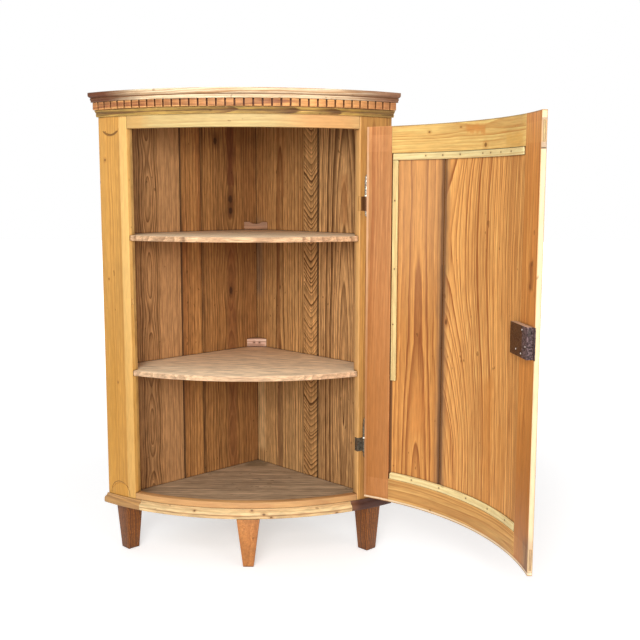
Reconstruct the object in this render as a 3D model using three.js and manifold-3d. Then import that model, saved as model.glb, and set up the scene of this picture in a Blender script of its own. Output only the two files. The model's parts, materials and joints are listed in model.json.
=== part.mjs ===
// Bow-fronted corner cupboard on four tapered feet, its door standing open.
// Millimetres, +Z up. The front faces -Y and the back corner fits a room corner.
// The origin is the middle of the rear foot's sole.
import * as THREE from "three";
import { mergeVertices, toCreasedNormals } from "three/addons/utils/BufferGeometryUtils.js";
import Module from "manifold-3d";

const wasm = await Module();
wasm.setup();

// Driving sizes of the case
const height = 1150;
const faceRadius = 586;
const caseDepth = 468.5;
const stileWidth = 97.4;
const frameThick = 20;
const wallThick = 11;
const rearFootInset = 36;
const legHeight = 121.7;

// Fits
const gap = 0.3;
const doorStandOff = 0.8;

// Levels of the case
const caseBottom = legHeight + gap;
const railTall = 39;
const friezeTall = 72.7;
const topSet = 14;
const floorThick = 12;
const openingBottom = caseBottom + railTall;
const frameTop = height - topSet;
const openingTop = frameTop - friezeTall;
const topThick = 12.7;
const shelfThick = 13;
const lowerShelfTop = 474.4;
const upperShelfTop = 808.2;
const shelfSetBack = 2;
const housingDepth = 4;

// Wall boards, measured along each wall from the back corner
const leftSeams = [197, 265.5];
const rightSeams = [195, 253];
const lapWidth = 8;
const seamGap = 1.4;

// Frame joints
const arrisCut = 3;
const railTenon = { length: 30, face: 6, thick: 8 };
const friezeTenonSet = { bottom: 14.7, top: 12 };
const friezeTenon = [openingTop + friezeTenonSet.bottom, frameTop - friezeTenonSet.top];
const bottomTenonSet = { bottom: 8, top: 9 };
const bottomTenon = [caseBottom + bottomTenonSet.bottom, openingBottom - bottomTenonSet.top];

// Mouldings
const crownTall = 22.7;
const crownReach = 26;
const crownBottom = height - crownTall;
const dentilTall = 18;
const dentilBottom = crownBottom - dentilTall;
const dentilBack = 10;
const dentilReach = 17;
const dentilPitch = 21.5;
const dentilShare = 0.8;
const bedTall = 16;
const bedBottom = dentilBottom - gap - bedTall;
const baseJointInset = 19.5;

// Sections of the mouldings: reach beyond the frame's face and rise above the foot
const bedSection = [
  [gap, 0], [3, 0], [4, 1.5], [4.5, 6.5], [3.8, 7.4], [3.8, 8.6],
  [5, 9.5], [6.5, 12], [8, 14], [8, bedTall], [gap, bedTall],
];
const crownSection = [
  [gap, 0], [17.5, 0], [18, 0.7], [18, 4.2], [19.2, 4.7], [20, 6.2], [20, 7.7],
  [19.2, 9], [18.4, 9.5], [20.3, 10.7], [23.2, 12], [25.2, 13.7], [crownReach, 15.2],
  [crownReach, crownTall], [gap, crownTall],
];
const baseSection = [
  [gap, 0], [8.5, 0], [11, 1], [12.5, 4], [12.5, 12], [11, 15.5], [9, 17],
  [7, 17.5], [5, 19.2], [3.8, 21.5], [3, 24], [gap, 24],
];

// Feet: side of the square at top and at sole
const sideFoot = { top: 48, sole: 32 };
const footSetBack = 38.4;
const footInset = 25.1;
const frontFoot = { top: 56, sole: 26, x: 10.7, reach: 9.5, lean: 13, spigotBack: 14 };
const spigotRadius = 6;
const spigotLength = 9;

// Tool marks on the left stile: distance from the opening, and down from its top or up from its foot
const grooveRadius = 2;
const grooveLift = 0.6;
const grooveSteps = 10;
const grooveSides = 5;
const upperMark = [[71, 4.3], [61.2, 10.8], [48, 13.3], [33.7, 9.3], [25.5, -0.3]];
const lowerMark = [[78.3, 1.5], [67.3, 12.5], [52.7, 18], [34.9, 16.5], [22, 10]];

// Corner blocks: width across the corner and height
const upperBlock = { width: 66, tall: 22 };
const lowerBlock = { width: 56, tall: 23 };
const blockStart = 5;
const blockNotch = { radius: 30, depth: 6 };

// Door
const openAngle = THREE.MathUtils.degToRad(122.2);
const doorThick = 11;
const doorArris = 1.6;
const doorRound = 2;
const doorOverlap = 9.2;
const doorLap = { bottom: 2.5, top: 3.3 };
const doorBottom = openingBottom - doorLap.bottom;
const doorTop = openingTop + doorLap.top;
const hingeStileWidth = 67;
const lockStileWidth = 88;
const topRailTall = 62.6;
const bottomRailTall = 58.5;
const topRailBottom = doorTop - topRailTall;
const bottomRailTop = doorBottom + bottomRailTall;
const doorTenon = { face: 3.4, thick: 4.2 };
const topTenonSet = { bottom: 4, top: 19.6 };
const topTenon = [topRailBottom + topTenonSet.bottom, doorTop - topTenonSet.top];
const lowTenonSet = { bottom: 11.5, top: 4 };
const lowTenon = [doorBottom + lowTenonSet.bottom, bottomRailTop - lowTenonSet.top];
const panel = { face: 4.6, thick: 4, groove: 5.5, seam: 216.5, open: 3, lap: 5 };
const batten = { face: 0.4, bevel: 1.6 };
const topBattenTall = 15.7;
const topBatten = [topRailBottom - gap - topBattenTall, topRailBottom - gap];
const lowBattenTall = 16.6;
const lowBatten = [bottomRailTop + gap, bottomRailTop + gap + lowBattenTall];
const sideBattenTall = 524.2;
const sideBattenSet = 0.8;
const sideBatten = [topBatten[0] - sideBattenSet - sideBattenTall, topBatten[0] - sideBattenSet];
const battenStart = 3.4;
const topBattenEnd = 11.3;
const lowBattenEnd = 4.3;
const sideBattenWidth = 13.5;
const slantSize = 40;
const slantShare = 0.6;

// Hinges
const hingeSet = { lower: 147, upper: 158.3 };
const hingeLevels = [openingBottom + hingeSet.lower, openingTop - hingeSet.upper];
const hingeNames = ["lower", "upper"];
const knuckleRadius = 4.5;
const knuckleLength = 34;
const washerThick = 4;
const pinRadius = 2;
const pinFit = 0.06;
const pinGrip = 28;
const finialRises = [0, 3, 7, 11, 15];
const leafThick = 1.8;
const leafReach = 16;
const revealReach = [13.5, 6];
const leafInset = 0.5;
const washerRadius = 4.7;
const neck = 2.6;
const ball = 3.5;
const webHalf = 1;
const pinOffset = { edge: 5, face: 9.2 };

// Lock
const lock = { length: 95, thick: 12.5, bottom: 592, top: 656, wall: 1.6, setIn: 11 };
const forendThick = 1.8;
const selvedgeThick = 1.5;
const bolt = { length: 66, thick: 5, bottom: 639.5, top: 651.5, depth: 4.8, fit: 0.4 };
const boltTravel = 12;
const stump = { x: 6, radius: 2 };
const talon = { x: 0, radius: 5 };
const keyhole = { radius: 3.4, slot: 3, drop: 11, level: 624 };
const boltMortise = { depth: 14, side: 1, above: 2 };

// Places that follow from the sizes above
const cornerY = rearFootInset;
const arcY = cornerY + faceRadius - caseDepth;
const openingAngle = wallAngle(faceRadius, wallThick) - stileWidth / faceRadius;
const doorInner = faceRadius + doorStandOff;
const doorOuter = doorInner + doorThick;
const doorAngle = openingAngle + doorOverlap / faceRadius;
const frameBack = faceRadius - frameThick;
const floorTop = caseBottom + floorThick;
const arcStep = THREE.MathUtils.degToRad(2.4);
const halfTurn = Math.PI;
const roundSides = 24;
const crease = THREE.MathUtils.degToRad(26);
const [pinX, pinY] = besideArc(doorInner, doorAngle, pinOffset.edge, pinOffset.face);
const pinAngle = Math.atan2(pinX, arcY - pinY);
const lockAngle = (lock.setIn + lock.length / 2) / doorInner - doorAngle;
const lockBack = doorInner * Math.cos(lock.length / 2 / doorInner) - gap;

// Plan helpers. Angles are from straight ahead, positive to the right.
function onArc(radius, angle) {
  return [radius * Math.sin(angle), arcY - radius * Math.cos(angle)];
}

function arcLine(radius, from, to) {
  const steps = Math.max(1, Math.ceil(Math.abs(to - from) / arcStep));
  const line = [];
  for (let i = 0; i <= steps; i += 1) {
    line.push(onArc(radius, from + ((to - from) * i) / steps));
  }
  return line;
}

// A point beside the arc: along the tangent and outward from a radius
function besideArc(radius, angle, along, outward) {
  const [x, y] = onArc(radius + outward, angle);
  return [x + along * Math.cos(angle), y + along * Math.sin(angle)];
}

// A point of a wall: along it from the back corner and outward from its inner face
function onWall(side, along, outward) {
  const share = Math.SQRT1_2;
  return [side * (along + outward) * share, cornerY + (outward - along) * share];
}

// How far along a wall a circle about the bow's centre is met
function wallReach(radius, outward) {
  const k = (arcY - cornerY) * Math.SQRT2;
  const rest = outward * outward - k * outward + (k * k) / 2 - radius * radius;
  return (Math.sqrt(k * k - 4 * rest) - k) / 2;
}

function wallAngle(radius, outward) {
  const [x, y] = onWall(1, wallReach(radius, outward), outward);
  return Math.atan2(x, arcY - y);
}

function band(inner, outer, from, to) {
  return [...arcLine(outer, from, to), ...arcLine(inner, to, from)];
}

// Solid helpers
function prism(outline, bottom, top) {
  const shape = new THREE.Shape(outline.map(([x, y]) => new THREE.Vector2(x, y)));
  const settings = { depth: top - bottom, bevelEnabled: false };
  return new THREE.ExtrudeGeometry(shape, settings).translate(0, 0, bottom);
}

function solid(geometry) {
  const bare = geometry.clone();
  bare.deleteAttribute("normal");
  bare.deleteAttribute("uv");
  const merged = mergeVertices(bare, 0.0001);
  return new wasm.Manifold(new wasm.Mesh({
    numProp: 3,
    vertProperties: new Float32Array(merged.attributes.position.array),
    triVerts: new Uint32Array(merged.index.array),
  }));
}

function join(...shapes) {
  return shapes.map(asSolid).reduce((all, next) => all.add(next));
}

function cut(shape, ...tools) {
  return tools.map(asSolid).reduce((all, next) => all.subtract(next), asSolid(shape));
}

function asSolid(shape) {
  return shape.isBufferGeometry ? solid(shape) : shape;
}

function asGeometry(shape) {
  if (shape.isBufferGeometry) {
    return shape;
  }
  const mesh = shape.getMesh();
  const geometry = new THREE.BufferGeometry();
  geometry.setAttribute("position", new THREE.BufferAttribute(mesh.vertProperties, 3));
  geometry.setIndex(new THREE.BufferAttribute(mesh.triVerts, 1));
  return geometry;
}

// A section of radius and height swept round the bow, with closed ends
function sweep(section, from, to) {
  const outline = section.map(([r, z]) => new THREE.Vector2(r, z));
  const ring = THREE.ShapeUtils.isClockWise(outline) ? outline.reverse() : outline;
  const steps = Math.max(1, Math.ceil(Math.abs(to - from) / arcStep));
  const points = [];
  for (let i = 0; i <= steps; i += 1) {
    for (const { x, y } of ring) {
      points.push(...onArc(x, from + ((to - from) * i) / steps), y);
    }
  }
  const count = ring.length;
  const faces = [];
  for (let i = 0; i < steps; i += 1) {
    for (let j = 0; j < count; j += 1) {
      const here = i * count + j;
      const beside = i * count + ((j + 1) % count);
      faces.push(here, here + count, beside, beside, here + count, beside + count);
    }
  }
  const last = steps * count;
  for (const [a, b, c] of THREE.ShapeUtils.triangulateShape(ring, [])) {
    faces.push(a, b, c, last + a, last + c, last + b);
  }
  const geometry = new THREE.BufferGeometry();
  geometry.setAttribute("position", new THREE.Float32BufferAttribute(points, 3));
  geometry.setIndex(faces);
  return geometry;
}

// A four-sided post between two outlines, each listed anticlockwise
function taper(lower, bottom, upper, top) {
  const count = lower.length;
  const points = [];
  lower.forEach(([x, y]) => points.push(x, y, bottom));
  upper.forEach(([x, y]) => points.push(x, y, top));
  const faces = [];
  for (let i = 0; i < count; i += 1) {
    const next = (i + 1) % count;
    faces.push(i, next, count + i, next, count + next, count + i);
  }
  for (let i = 1; i < count - 1; i += 1) {
    faces.push(0, i + 1, i, count, count + i, count + i + 1);
  }
  const geometry = new THREE.BufferGeometry();
  geometry.setAttribute("position", new THREE.Float32BufferAttribute(points, 3));
  geometry.setIndex(faces);
  return geometry;
}

function turned(section, x, y) {
  const outline = section.map(([r, z]) => new THREE.Vector2(r, z));
  const body = new THREE.LatheGeometry(outline, roundSides);
  return body.rotateX(halfTurn / 2).translate(x, y, 0);
}

function rod(radius, x, y, bottom, top) {
  const body = new THREE.CylinderGeometry(radius, radius, top - bottom, roundSides);
  return body.rotateX(halfTurn / 2).translate(x, y, (top + bottom) / 2);
}

function box([x0, x1], [y0, y1], [z0, z1]) {
  const body = new THREE.BoxGeometry(x1 - x0, y1 - y0, z1 - z0);
  return body.translate((x0 + x1) / 2, (y0 + y1) / 2, (z0 + z1) / 2);
}

// The plan of the case from its back corner to a radius of the bow
function casePlan(radius, outward) {
  const end = wallAngle(radius, outward);
  return [onWall(1, -outward, outward), ...arcLine(radius, -end, end)];
}

// Room for a moulding between the outer faces of the two walls
function trimmed(shape) {
  const far = faceRadius * 2;
  const outline = [
    onWall(1, -wallThick, wallThick), onWall(-1, far, wallThick), [0, -far], onWall(1, far, wallThick),
  ];
  return solid(shape).intersect(solid(prism(outline, 0, height + wallThick)));
}

const cupboard = new THREE.Group();
const door = new THREE.Group();
const doorFrame = new THREE.Group();

function place(group, name, shape, colour, roughness = 0.6, metalness = 0) {
  const look = new THREE.MeshStandardMaterial({ color: colour, roughness, metalness });
  const mesh = new THREE.Mesh(toCreasedNormals(asGeometry(shape), crease), look);
  mesh.name = name;
  group.add(mesh);
}

// Walls: half-lapped upright boards, housed for the floor and shelves
function wallBoard(side, start, end) {
  const half = wallThick / 2;
  const first = start <= gap;
  const innerStart = first ? start : start + seamGap / 2;
  const outerStart = first ? start : start + lapWidth + gap;
  const line = [onWall(side, innerStart, 0)];
  if (end) {
    line.push(onWall(side, end - seamGap / 2, 0), onWall(side, end - seamGap / 2, half + gap / 2));
    line.push(onWall(side, end + lapWidth, half + gap / 2), onWall(side, end + lapWidth, wallThick));
  } else {
    for (const outward of [0, half, wallThick]) {
      line.push(onWall(side, wallReach(frameBack - gap, outward), outward));
    }
  }
  line.push(onWall(side, outerStart, wallThick));
  if (!first) {
    line.push(onWall(side, outerStart, half - gap / 2), onWall(side, innerStart, half - gap / 2));
  }
  return prism(line, caseBottom, frameTop);
}

function housing(side, bottom, top) {
  const far = wallReach(faceRadius, wallThick);
  const line = [
    onWall(side, -housingDepth, housingDepth), onWall(side, far, housingDepth),
    onWall(side, far, -housingDepth), onWall(side, -housingDepth, -housingDepth),
  ];
  return prism(line, bottom, top);
}

function addWall(side, word, start, seams) {
  const starts = [start, ...seams];
  const housings = [
    housing(side, 0, floorTop + gap),
    housing(side, lowerShelfTop - shelfThick - gap, lowerShelfTop + gap),
    housing(side, upperShelfTop - shelfThick - gap, upperShelfTop + gap),
  ];
  starts.forEach((from, i) => {
    const shaped = cut(wallBoard(side, from, seams[i]), ...housings);
    place(cupboard, `wall_${word}_${i + 1}`, shaped, 0x8a5a34);
  });
}

addWall(-1, "left", -wallThick, leftSeams);
addWall(1, "right", gap, rightSeams);

// Floor, shelves and top
const floorPlan = casePlan(frameBack - gap, housingDepth - gap);
const openingFit = openingAngle - gap / faceRadius;

function shelfPlan() {
  const end = wallAngle(frameBack - gap, housingDepth - gap);
  return [
    onWall(1, gap - housingDepth, housingDepth - gap),
    ...arcLine(frameBack - gap, -end, -openingFit),
    ...arcLine(faceRadius - shelfSetBack, -openingFit, openingFit),
    ...arcLine(frameBack - gap, openingFit, end),
  ];
}

const sides = [-1, 1];
const footReach = wallReach(faceRadius, 0) - footSetBack;
const spigotPlaces = sides.map((side) => onWall(side, footReach, -footInset));
const frontTopY = arcY - faceRadius - frontFoot.reach + frontFoot.top / 2;
spigotPlaces.push([0, 0], [frontFoot.x, frontTopY + frontFoot.spigotBack]);
const spigotHoles = spigotPlaces.map(([x, y]) => {
  return rod(spigotRadius + gap, x, y, 0, legHeight + spigotLength + gap);
});
place(cupboard, "floor_board", cut(prism(floorPlan, caseBottom, floorTop), ...spigotHoles), 0x8d7a66);
place(cupboard, "shelf_lower", prism(shelfPlan(), lowerShelfTop - shelfThick, lowerShelfTop), 0xa08c74);
place(cupboard, "shelf_upper", prism(shelfPlan(), upperShelfTop - shelfThick, upperShelfTop), 0xa8957c);
const topPlan = casePlan(faceRadius, wallThick);
place(cupboard, "top_board", prism(topPlan, frameTop + gap, frameTop + gap + topThick), 0x8a5f38);

// Glue blocks in the back corner, standing on the shelves
function cornerBlock({ width, tall }, level) {
  const set = gap * Math.SQRT2;
  const plan = [[-width / 2, width / 2], [-blockStart, blockStart], [blockStart, blockStart], [width / 2, width / 2]];
  return prism(plan.map(([x, back]) => [x, cornerY - back - set]), level + gap, level + tall);
}

const notch = new THREE.CylinderGeometry(blockNotch.radius, blockNotch.radius, upperBlock.width, roundSides);
const notchLevel = upperShelfTop + upperBlock.tall - blockNotch.depth + blockNotch.radius;
notch.translate(0, cornerY - upperBlock.width / 2, notchLevel);
const scooped = cut(cornerBlock(upperBlock, upperShelfTop), notch);
place(cupboard, "corner_block_upper", scooped, 0xd9a98a);
place(cupboard, "corner_block_lower", cornerBlock(lowerBlock, lowerShelfTop), 0xcf9d80);

// Face frame: two stiles and two rails with stub tenons
function railTenonBand(fit) {
  const front = faceRadius - railTenon.face + fit;
  const end = openingAngle + (railTenon.length + fit) / faceRadius;
  return band(front - railTenon.thick - fit - fit, front, -end, end);
}

function rail(bottom, top, [tenonBottom, tenonTop]) {
  const body = prism(band(frameBack, faceRadius, -openingFit, openingFit), bottom, top);
  return join(body, prism(railTenonBand(0), tenonBottom, tenonTop));
}

function mortises([tenonBottom, tenonTop]) {
  return prism(railTenonBand(gap), tenonBottom - gap, tenonTop + gap);
}

function stile(side) {
  const frontEnd = wallAngle(faceRadius, wallThick) - arrisCut / faceRadius;
  const backEnd = wallAngle(frameBack, wallThick);
  const plan = [
    ...arcLine(faceRadius, openingAngle, frontEnd),
    onWall(1, wallReach(faceRadius, wallThick) - arrisCut, wallThick),
    ...arcLine(frameBack, backEnd, openingAngle),
  ];
  const body = prism(plan.map(([x, y]) => [side * x, y]), caseBottom, frameTop);
  return cut(body, mortises(friezeTenon), mortises(bottomTenon));
}

place(cupboard, "frieze_rail", rail(openingTop, frameTop, friezeTenon), 0xd2a65c);
place(cupboard, "bottom_rail", rail(caseBottom, openingBottom, bottomTenon), 0xc79a78);

// Tool marks: shallow round-bottomed grooves in the face of the left stile
function groove(points) {
  const places = points.map(([along, level]) => {
    const [x, y] = onArc(faceRadius + grooveLift, -openingAngle - along / faceRadius);
    return new THREE.Vector3(x, y, level);
  });
  const path = new THREE.CatmullRomCurve3(places);
  const ring = new THREE.Shape().absarc(0, 0, grooveRadius, 0, halfTurn * 2);
  const settings = { extrudePath: path, steps: grooveSteps, curveSegments: grooveSides };
  return new THREE.ExtrudeGeometry(ring, settings);
}

function atLock(geometry) {
  const [x, y] = onArc(lockBack, lockAngle);
  return geometry.rotateZ(lockAngle).translate(x, y, 0);
}

const lockEnd = -lock.length / 2;
const boltFace = [bolt.depth, bolt.depth + bolt.thick];
const mortiseFace = [boltFace[0] - boltMortise.side, boltFace[1] + boltMortise.side];
const mortiseTall = [bolt.bottom - boltMortise.above, bolt.top + boltMortise.above];
const boltPocket = atLock(box([lockEnd - boltMortise.depth, lockEnd], mortiseFace, mortiseTall));
const marks = [
  groove(upperMark.map(([along, drop]) => [along, openingTop - drop])),
  groove(lowerMark.map(([along, rise]) => [along, openingBottom + rise])),
];
place(cupboard, "stile_left", cut(stile(-1), ...marks, boltPocket), 0xb98545);

// Hinge shapes, drawn on the closed door's side of the case
function leafBand(fit, reveal) {
  const edge = openingAngle - fit / faceRadius;
  const side = [leafThick + fit, leafReach + fit].map((size) => openingAngle + size / faceRadius);
  const proud = faceRadius + fit;
  return [
    band(faceRadius - reveal - fit, proud, edge, side[0]),
    band(faceRadius - leafThick - fit, proud, edge, side[1]),
  ];
}

function frameLeaf(level, reveal) {
  const top = level - washerThick / 2 - gap;
  const bottom = top - knuckleLength;
  const pinRound = Math.hypot(pinX, arcY - pinY);
  const half = webHalf / faceRadius;
  const web = band(faceRadius - leafThick / 2, pinRound, pinAngle - half, pinAngle + half);
  const plates = leafBand(0, reveal).map((plan) => prism(plan, bottom, top));
  const whole = join(...plates, prism(web, bottom, top), rod(knuckleRadius, pinX, pinY, bottom, top));
  return cut(whole, rod(pinRadius + gap, pinX, pinY, bottom - gap, top + gap));
}

function frameRecess(level, i) {
  const top = level - washerThick / 2;
  return leafBand(gap, revealReach[i]).map((plan) => prism(plan, top - knuckleLength - gap - gap, top));
}

function finial(turn, level) {
  return [knuckleRadius, neck, ball, neck, 0].map((r, i) => [r, level + turn * finialRises[i]]);
}

function doorLeafBand(fit) {
  const inner = doorInner + leafInset - fit;
  const side = doorAngle - (leafThick + fit) / doorInner;
  return band(inner, doorOuter - leafInset + fit, side, doorAngle + fit / doorInner);
}

function doorLeaf(level) {
  const bottom = level + washerThick / 2 + gap;
  const top = bottom + knuckleLength;
  const barrel = turned([[0, bottom], [knuckleRadius, bottom], ...finial(1, top)], pinX, pinY);
  const middle = doorInner + pinOffset.face;
  const bridge = band(middle - webHalf, middle + webHalf, doorAngle - leafThick / 2 / doorInner, pinAngle);
  const whole = join(prism(doorLeafBand(0), bottom, top), prism(bridge, bottom, top), barrel);
  return cut(whole, rod(pinRadius + pinFit, pinX, pinY, bottom - gap, bottom + pinGrip + gap));
}

function hingePin(level) {
  const foot = level - washerThick / 2 - gap - knuckleLength - gap;
  const tip = level + washerThick / 2 + pinGrip;
  const outline = [...finial(-1, foot).reverse(), [pinRadius, foot], [pinRadius, tip], [0, tip]];
  return turned(outline, pinX, pinY);
}

function washer(level) {
  const [bottom, top] = [level - washerThick / 2, level + washerThick / 2];
  const disc = rod(washerRadius, pinX, pinY, bottom, top);
  return cut(disc, rod(pinRadius + gap, pinX, pinY, bottom - gap, top + gap));
}

const recesses = hingeLevels.flatMap(frameRecess);
place(cupboard, "stile_right", cut(stile(1), ...recesses), 0xb98545);
hingeLevels.forEach((level, i) => {
  place(cupboard, `hinge_${hingeNames[i]}_frame_leaf`, frameLeaf(level, revealReach[i]), 0x4d4540, 0.5, 0.8);
  place(cupboard, `hinge_${hingeNames[i]}_pin`, hingePin(level), 0x57504a, 0.45, 0.8);
  place(cupboard, `hinge_${hingeNames[i]}_washer`, washer(level), 0xc9b98e, 0.3, 0.9);
});

// Cornice: bed moulding, dentil band and crown, one above the other
function moulding(section, level, from, to) {
  const placed = section.map(([reach, rise]) => [faceRadius + reach, level + rise]);
  return trimmed(sweep(placed, from, to));
}

const sweepEnd = wallAngle(faceRadius + crownReach, wallThick) + arcStep;
place(cupboard, "cornice_bed", moulding(bedSection, bedBottom, -sweepEnd, sweepEnd), 0xc9984e);

function dentilPlan() {
  const pitch = dentilPitch / (faceRadius + dentilReach);
  const each = Math.floor(wallAngle(faceRadius + dentilReach, wallThick) / pitch);
  const line = [onArc(faceRadius + dentilBack, -sweepEnd)];
  for (let i = -each; i <= each; i += 1) {
    const edges = [i - dentilShare / 2, i + dentilShare / 2].map((place) => place * pitch);
    line.push(onArc(faceRadius + dentilBack, edges[0]), onArc(faceRadius + dentilReach, edges[0]));
    line.push(onArc(faceRadius + dentilReach, edges[1]), onArc(faceRadius + dentilBack, edges[1]));
  }
  line.push(onArc(faceRadius + dentilBack, sweepEnd));
  return [...line, ...arcLine(faceRadius + gap, sweepEnd, -sweepEnd)];
}

const dentils = trimmed(prism(dentilPlan(), dentilBottom, crownBottom - gap));
place(cupboard, "cornice_dentils", dentils, 0xb46a4a);
place(cupboard, "cornice_crown", moulding(crownSection, crownBottom, -sweepEnd, sweepEnd), 0x9c6a35);

// Base moulding in three lengths
const baseJoint = openingAngle - baseJointInset / faceRadius;
const baseInner = baseJoint - gap / 2 / faceRadius;
const baseOuter = baseJoint + gap / 2 / faceRadius;
place(cupboard, "base_moulding_left", moulding(baseSection, caseBottom, -sweepEnd, -baseOuter), 0xa08072);
place(cupboard, "base_moulding_centre", moulding(baseSection, caseBottom, -baseInner, baseInner), 0xd9a878);
place(cupboard, "base_moulding_right", moulding(baseSection, caseBottom, baseOuter, sweepEnd), 0x5a2f22);

// Feet: tapered posts with round spigots let into the floor board
function diamond(side, x, y) {
  const reach = side * Math.SQRT1_2;
  return [[x, y - reach], [x + reach, y], [x, y + reach], [x - reach, y]];
}

function square(side, x, y) {
  const half = side / 2;
  return [[x - half, y - half], [x + half, y - half], [x + half, y + half], [x - half, y + half]];
}

function foot(sole, top, [x, y]) {
  const spigot = rod(spigotRadius, x, y, legHeight - spigotLength, legHeight + spigotLength);
  return join(taper(sole, 0, top, legHeight), spigot);
}

["left", "right", "rear"].forEach((word, i) => {
  const spot = spigotPlaces[i];
  const post = foot(diamond(sideFoot.sole, ...spot), diamond(sideFoot.top, ...spot), spot);
  place(cupboard, `foot_${word}`, post, 0x7a4a2a);
});
const frontSole = square(frontFoot.sole, frontFoot.x, frontTopY - frontFoot.lean);
const frontTop = square(frontFoot.top, frontFoot.x, frontTopY);
place(cupboard, "foot_front", foot(frontSole, frontTop, spigotPlaces[3]), 0xb06a35);

// Door, drawn closed and turned about the hinge pins
door.name = "door";
door.position.set(pinX, pinY, 0);
door.rotation.z = openAngle;
doorFrame.position.set(-pinX, -pinY, 0);
door.add(doorFrame);
cupboard.add(door);

const hingeStileAngle = doorAngle - hingeStileWidth / doorInner;
const lockStileAngle = lockStileWidth / doorInner - doorAngle;
const edgeFit = gap / doorInner;

function doorTenonBand(fit) {
  const inner = doorInner + doorTenon.face - fit;
  const end = doorAngle + fit;
  return band(inner, inner + doorTenon.thick + fit + fit, -end, end);
}

function doorMortises() {
  return [topTenon, lowTenon].map(([bottom, top]) => prism(doorTenonBand(gap), bottom - gap, top + gap));
}

// The groove that holds the panel, cut in stiles and rails together
function panelBand(fit) {
  const reach = (panel.groove + fit) / doorInner;
  const inner = doorInner + panel.face - fit;
  return band(inner, inner + panel.thick + fit + fit, lockStileAngle - reach, hingeStileAngle + reach);
}

const panelSpan = [bottomRailTop - panel.groove, topRailBottom + panel.groove];
const panelSlot = prism(panelBand(gap), panelSpan[0] - gap, panelSpan[1] + gap);

function hingeGain(level) {
  const seat = level + washerThick / 2;
  return prism(doorLeafBand(gap), seat, seat + knuckleLength + gap + gap);
}

const keyRound = new THREE.CylinderGeometry(keyhole.radius, keyhole.radius, doorThick * 2, roundSides);
keyRound.translate(0, -doorThick / 2, keyhole.level);
const keySide = [-keyhole.slot / 2, keyhole.slot / 2];
const keyDeep = [-doorThick - doorThick / 2, doorThick / 2];
const keySlot = box(keySide, keyDeep, [keyhole.level - keyhole.drop, keyhole.level]);
const keyholeCut = [atLock(keyRound), atLock(keySlot)];

function freeEdgePlan() {
  const corner = onArc(doorInner, -doorAngle + doorArris / doorInner);
  const side = onArc(doorInner + doorArris, -doorAngle);
  const inner = arcLine(doorInner, lockStileAngle, -doorAngle + doorArris / doorInner).slice(0, -1);
  const eased = onArc(doorOuter - doorRound, -doorAngle);
  const outer = arcLine(doorOuter, -doorAngle + doorRound / doorOuter, lockStileAngle);
  return [eased, ...outer, ...inner, corner, side];
}

// The lock's selvedge: a plate let into the stile from the lock to the door's free edge
function selvedgePlan(fit) {
  const near = (lock.setIn + fit) / doorInner - doorAngle;
  return band(doorInner - fit, doorInner + selvedgeThick + fit, -fit / doorInner - doorAngle, near);
}

const hingeStile = prism(band(doorInner, doorOuter, hingeStileAngle, doorAngle), doorBottom, doorTop);
const gains = hingeLevels.map(hingeGain);
place(doorFrame, "door_stile_hinge", cut(hingeStile, ...doorMortises(), panelSlot, ...gains), 0xc98a55);
const lockStile = prism(freeEdgePlan(), doorBottom, doorTop);
const selvedgeSeat = prism(selvedgePlan(gap), lock.bottom - gap, lock.top + gap);
const lockCuts = [...doorMortises(), panelSlot, ...keyholeCut, selvedgeSeat];
place(doorFrame, "door_stile_lock", cut(lockStile, ...lockCuts), 0xb9783e);
place(doorFrame, "lock_selvedge", prism(selvedgePlan(0), lock.bottom, lock.top), 0x4a3a38, 0.6, 0.6);

function doorRail(bottom, top, [tenonBottom, tenonTop]) {
  const body = prism(band(doorInner, doorOuter, lockStileAngle + edgeFit, hingeStileAngle - edgeFit), bottom, top);
  return cut(join(body, prism(doorTenonBand(-edgeFit), tenonBottom, tenonTop)), panelSlot);
}

place(doorFrame, "door_rail_top", doorRail(topRailBottom, doorTop, topTenon), 0xd4a45a);
place(doorFrame, "door_rail_bottom", doorRail(doorBottom, bottomRailTop, lowTenon), 0xc99253);

// Panel of two upright boards, and the beads that close it in
function alongDoor(distance) {
  return doorAngle - distance / doorInner;
}

const panelEnds = [lockStileAngle - panel.groove / doorInner, hingeStileAngle + panel.groove / doorInner];
const seamSides = [panel.seam + panel.open / 2, panel.seam - panel.open / 2].map(alongDoor);
const lapEnds = [panel.seam + panel.open / 2 + panel.lap + gap, panel.seam + panel.open / 2 + panel.lap];
const lapAngles = lapEnds.map(alongDoor);
const panelFace = doorInner + panel.face;
const panelBack = panelFace + panel.thick;
const panelHalf = panelFace + panel.thick / 2;

const panelPlans = {
  lock: [
    ...arcLine(panelBack, panelEnds[0], lapAngles[0]),
    ...arcLine(panelHalf - gap / 2, lapAngles[0], seamSides[0]),
    ...arcLine(panelFace, seamSides[0], panelEnds[0]),
  ],
  hinge: [
    ...arcLine(panelFace, panelEnds[1], seamSides[1]),
    ...arcLine(panelHalf + gap / 2, seamSides[1], lapAngles[1]),
    ...arcLine(panelBack, lapAngles[1], panelEnds[1]),
  ],
};
Object.entries(panelPlans).forEach(([word, plan]) => {
  place(doorFrame, `door_panel_${word}`, prism(plan, ...panelSpan), 0xcf8438);
});

const battenBack = panel.face - gap;

// A bead's section with its inner top corner taken off
function bead([bottom, top], from, to) {
  const inner = doorInner + batten.face;
  const outer = doorInner + battenBack;
  return sweep([
    [inner, bottom], [outer, bottom], [outer, top], [inner + batten.bevel, top], [inner, top - batten.bevel],
  ], from, to);
}

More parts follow.
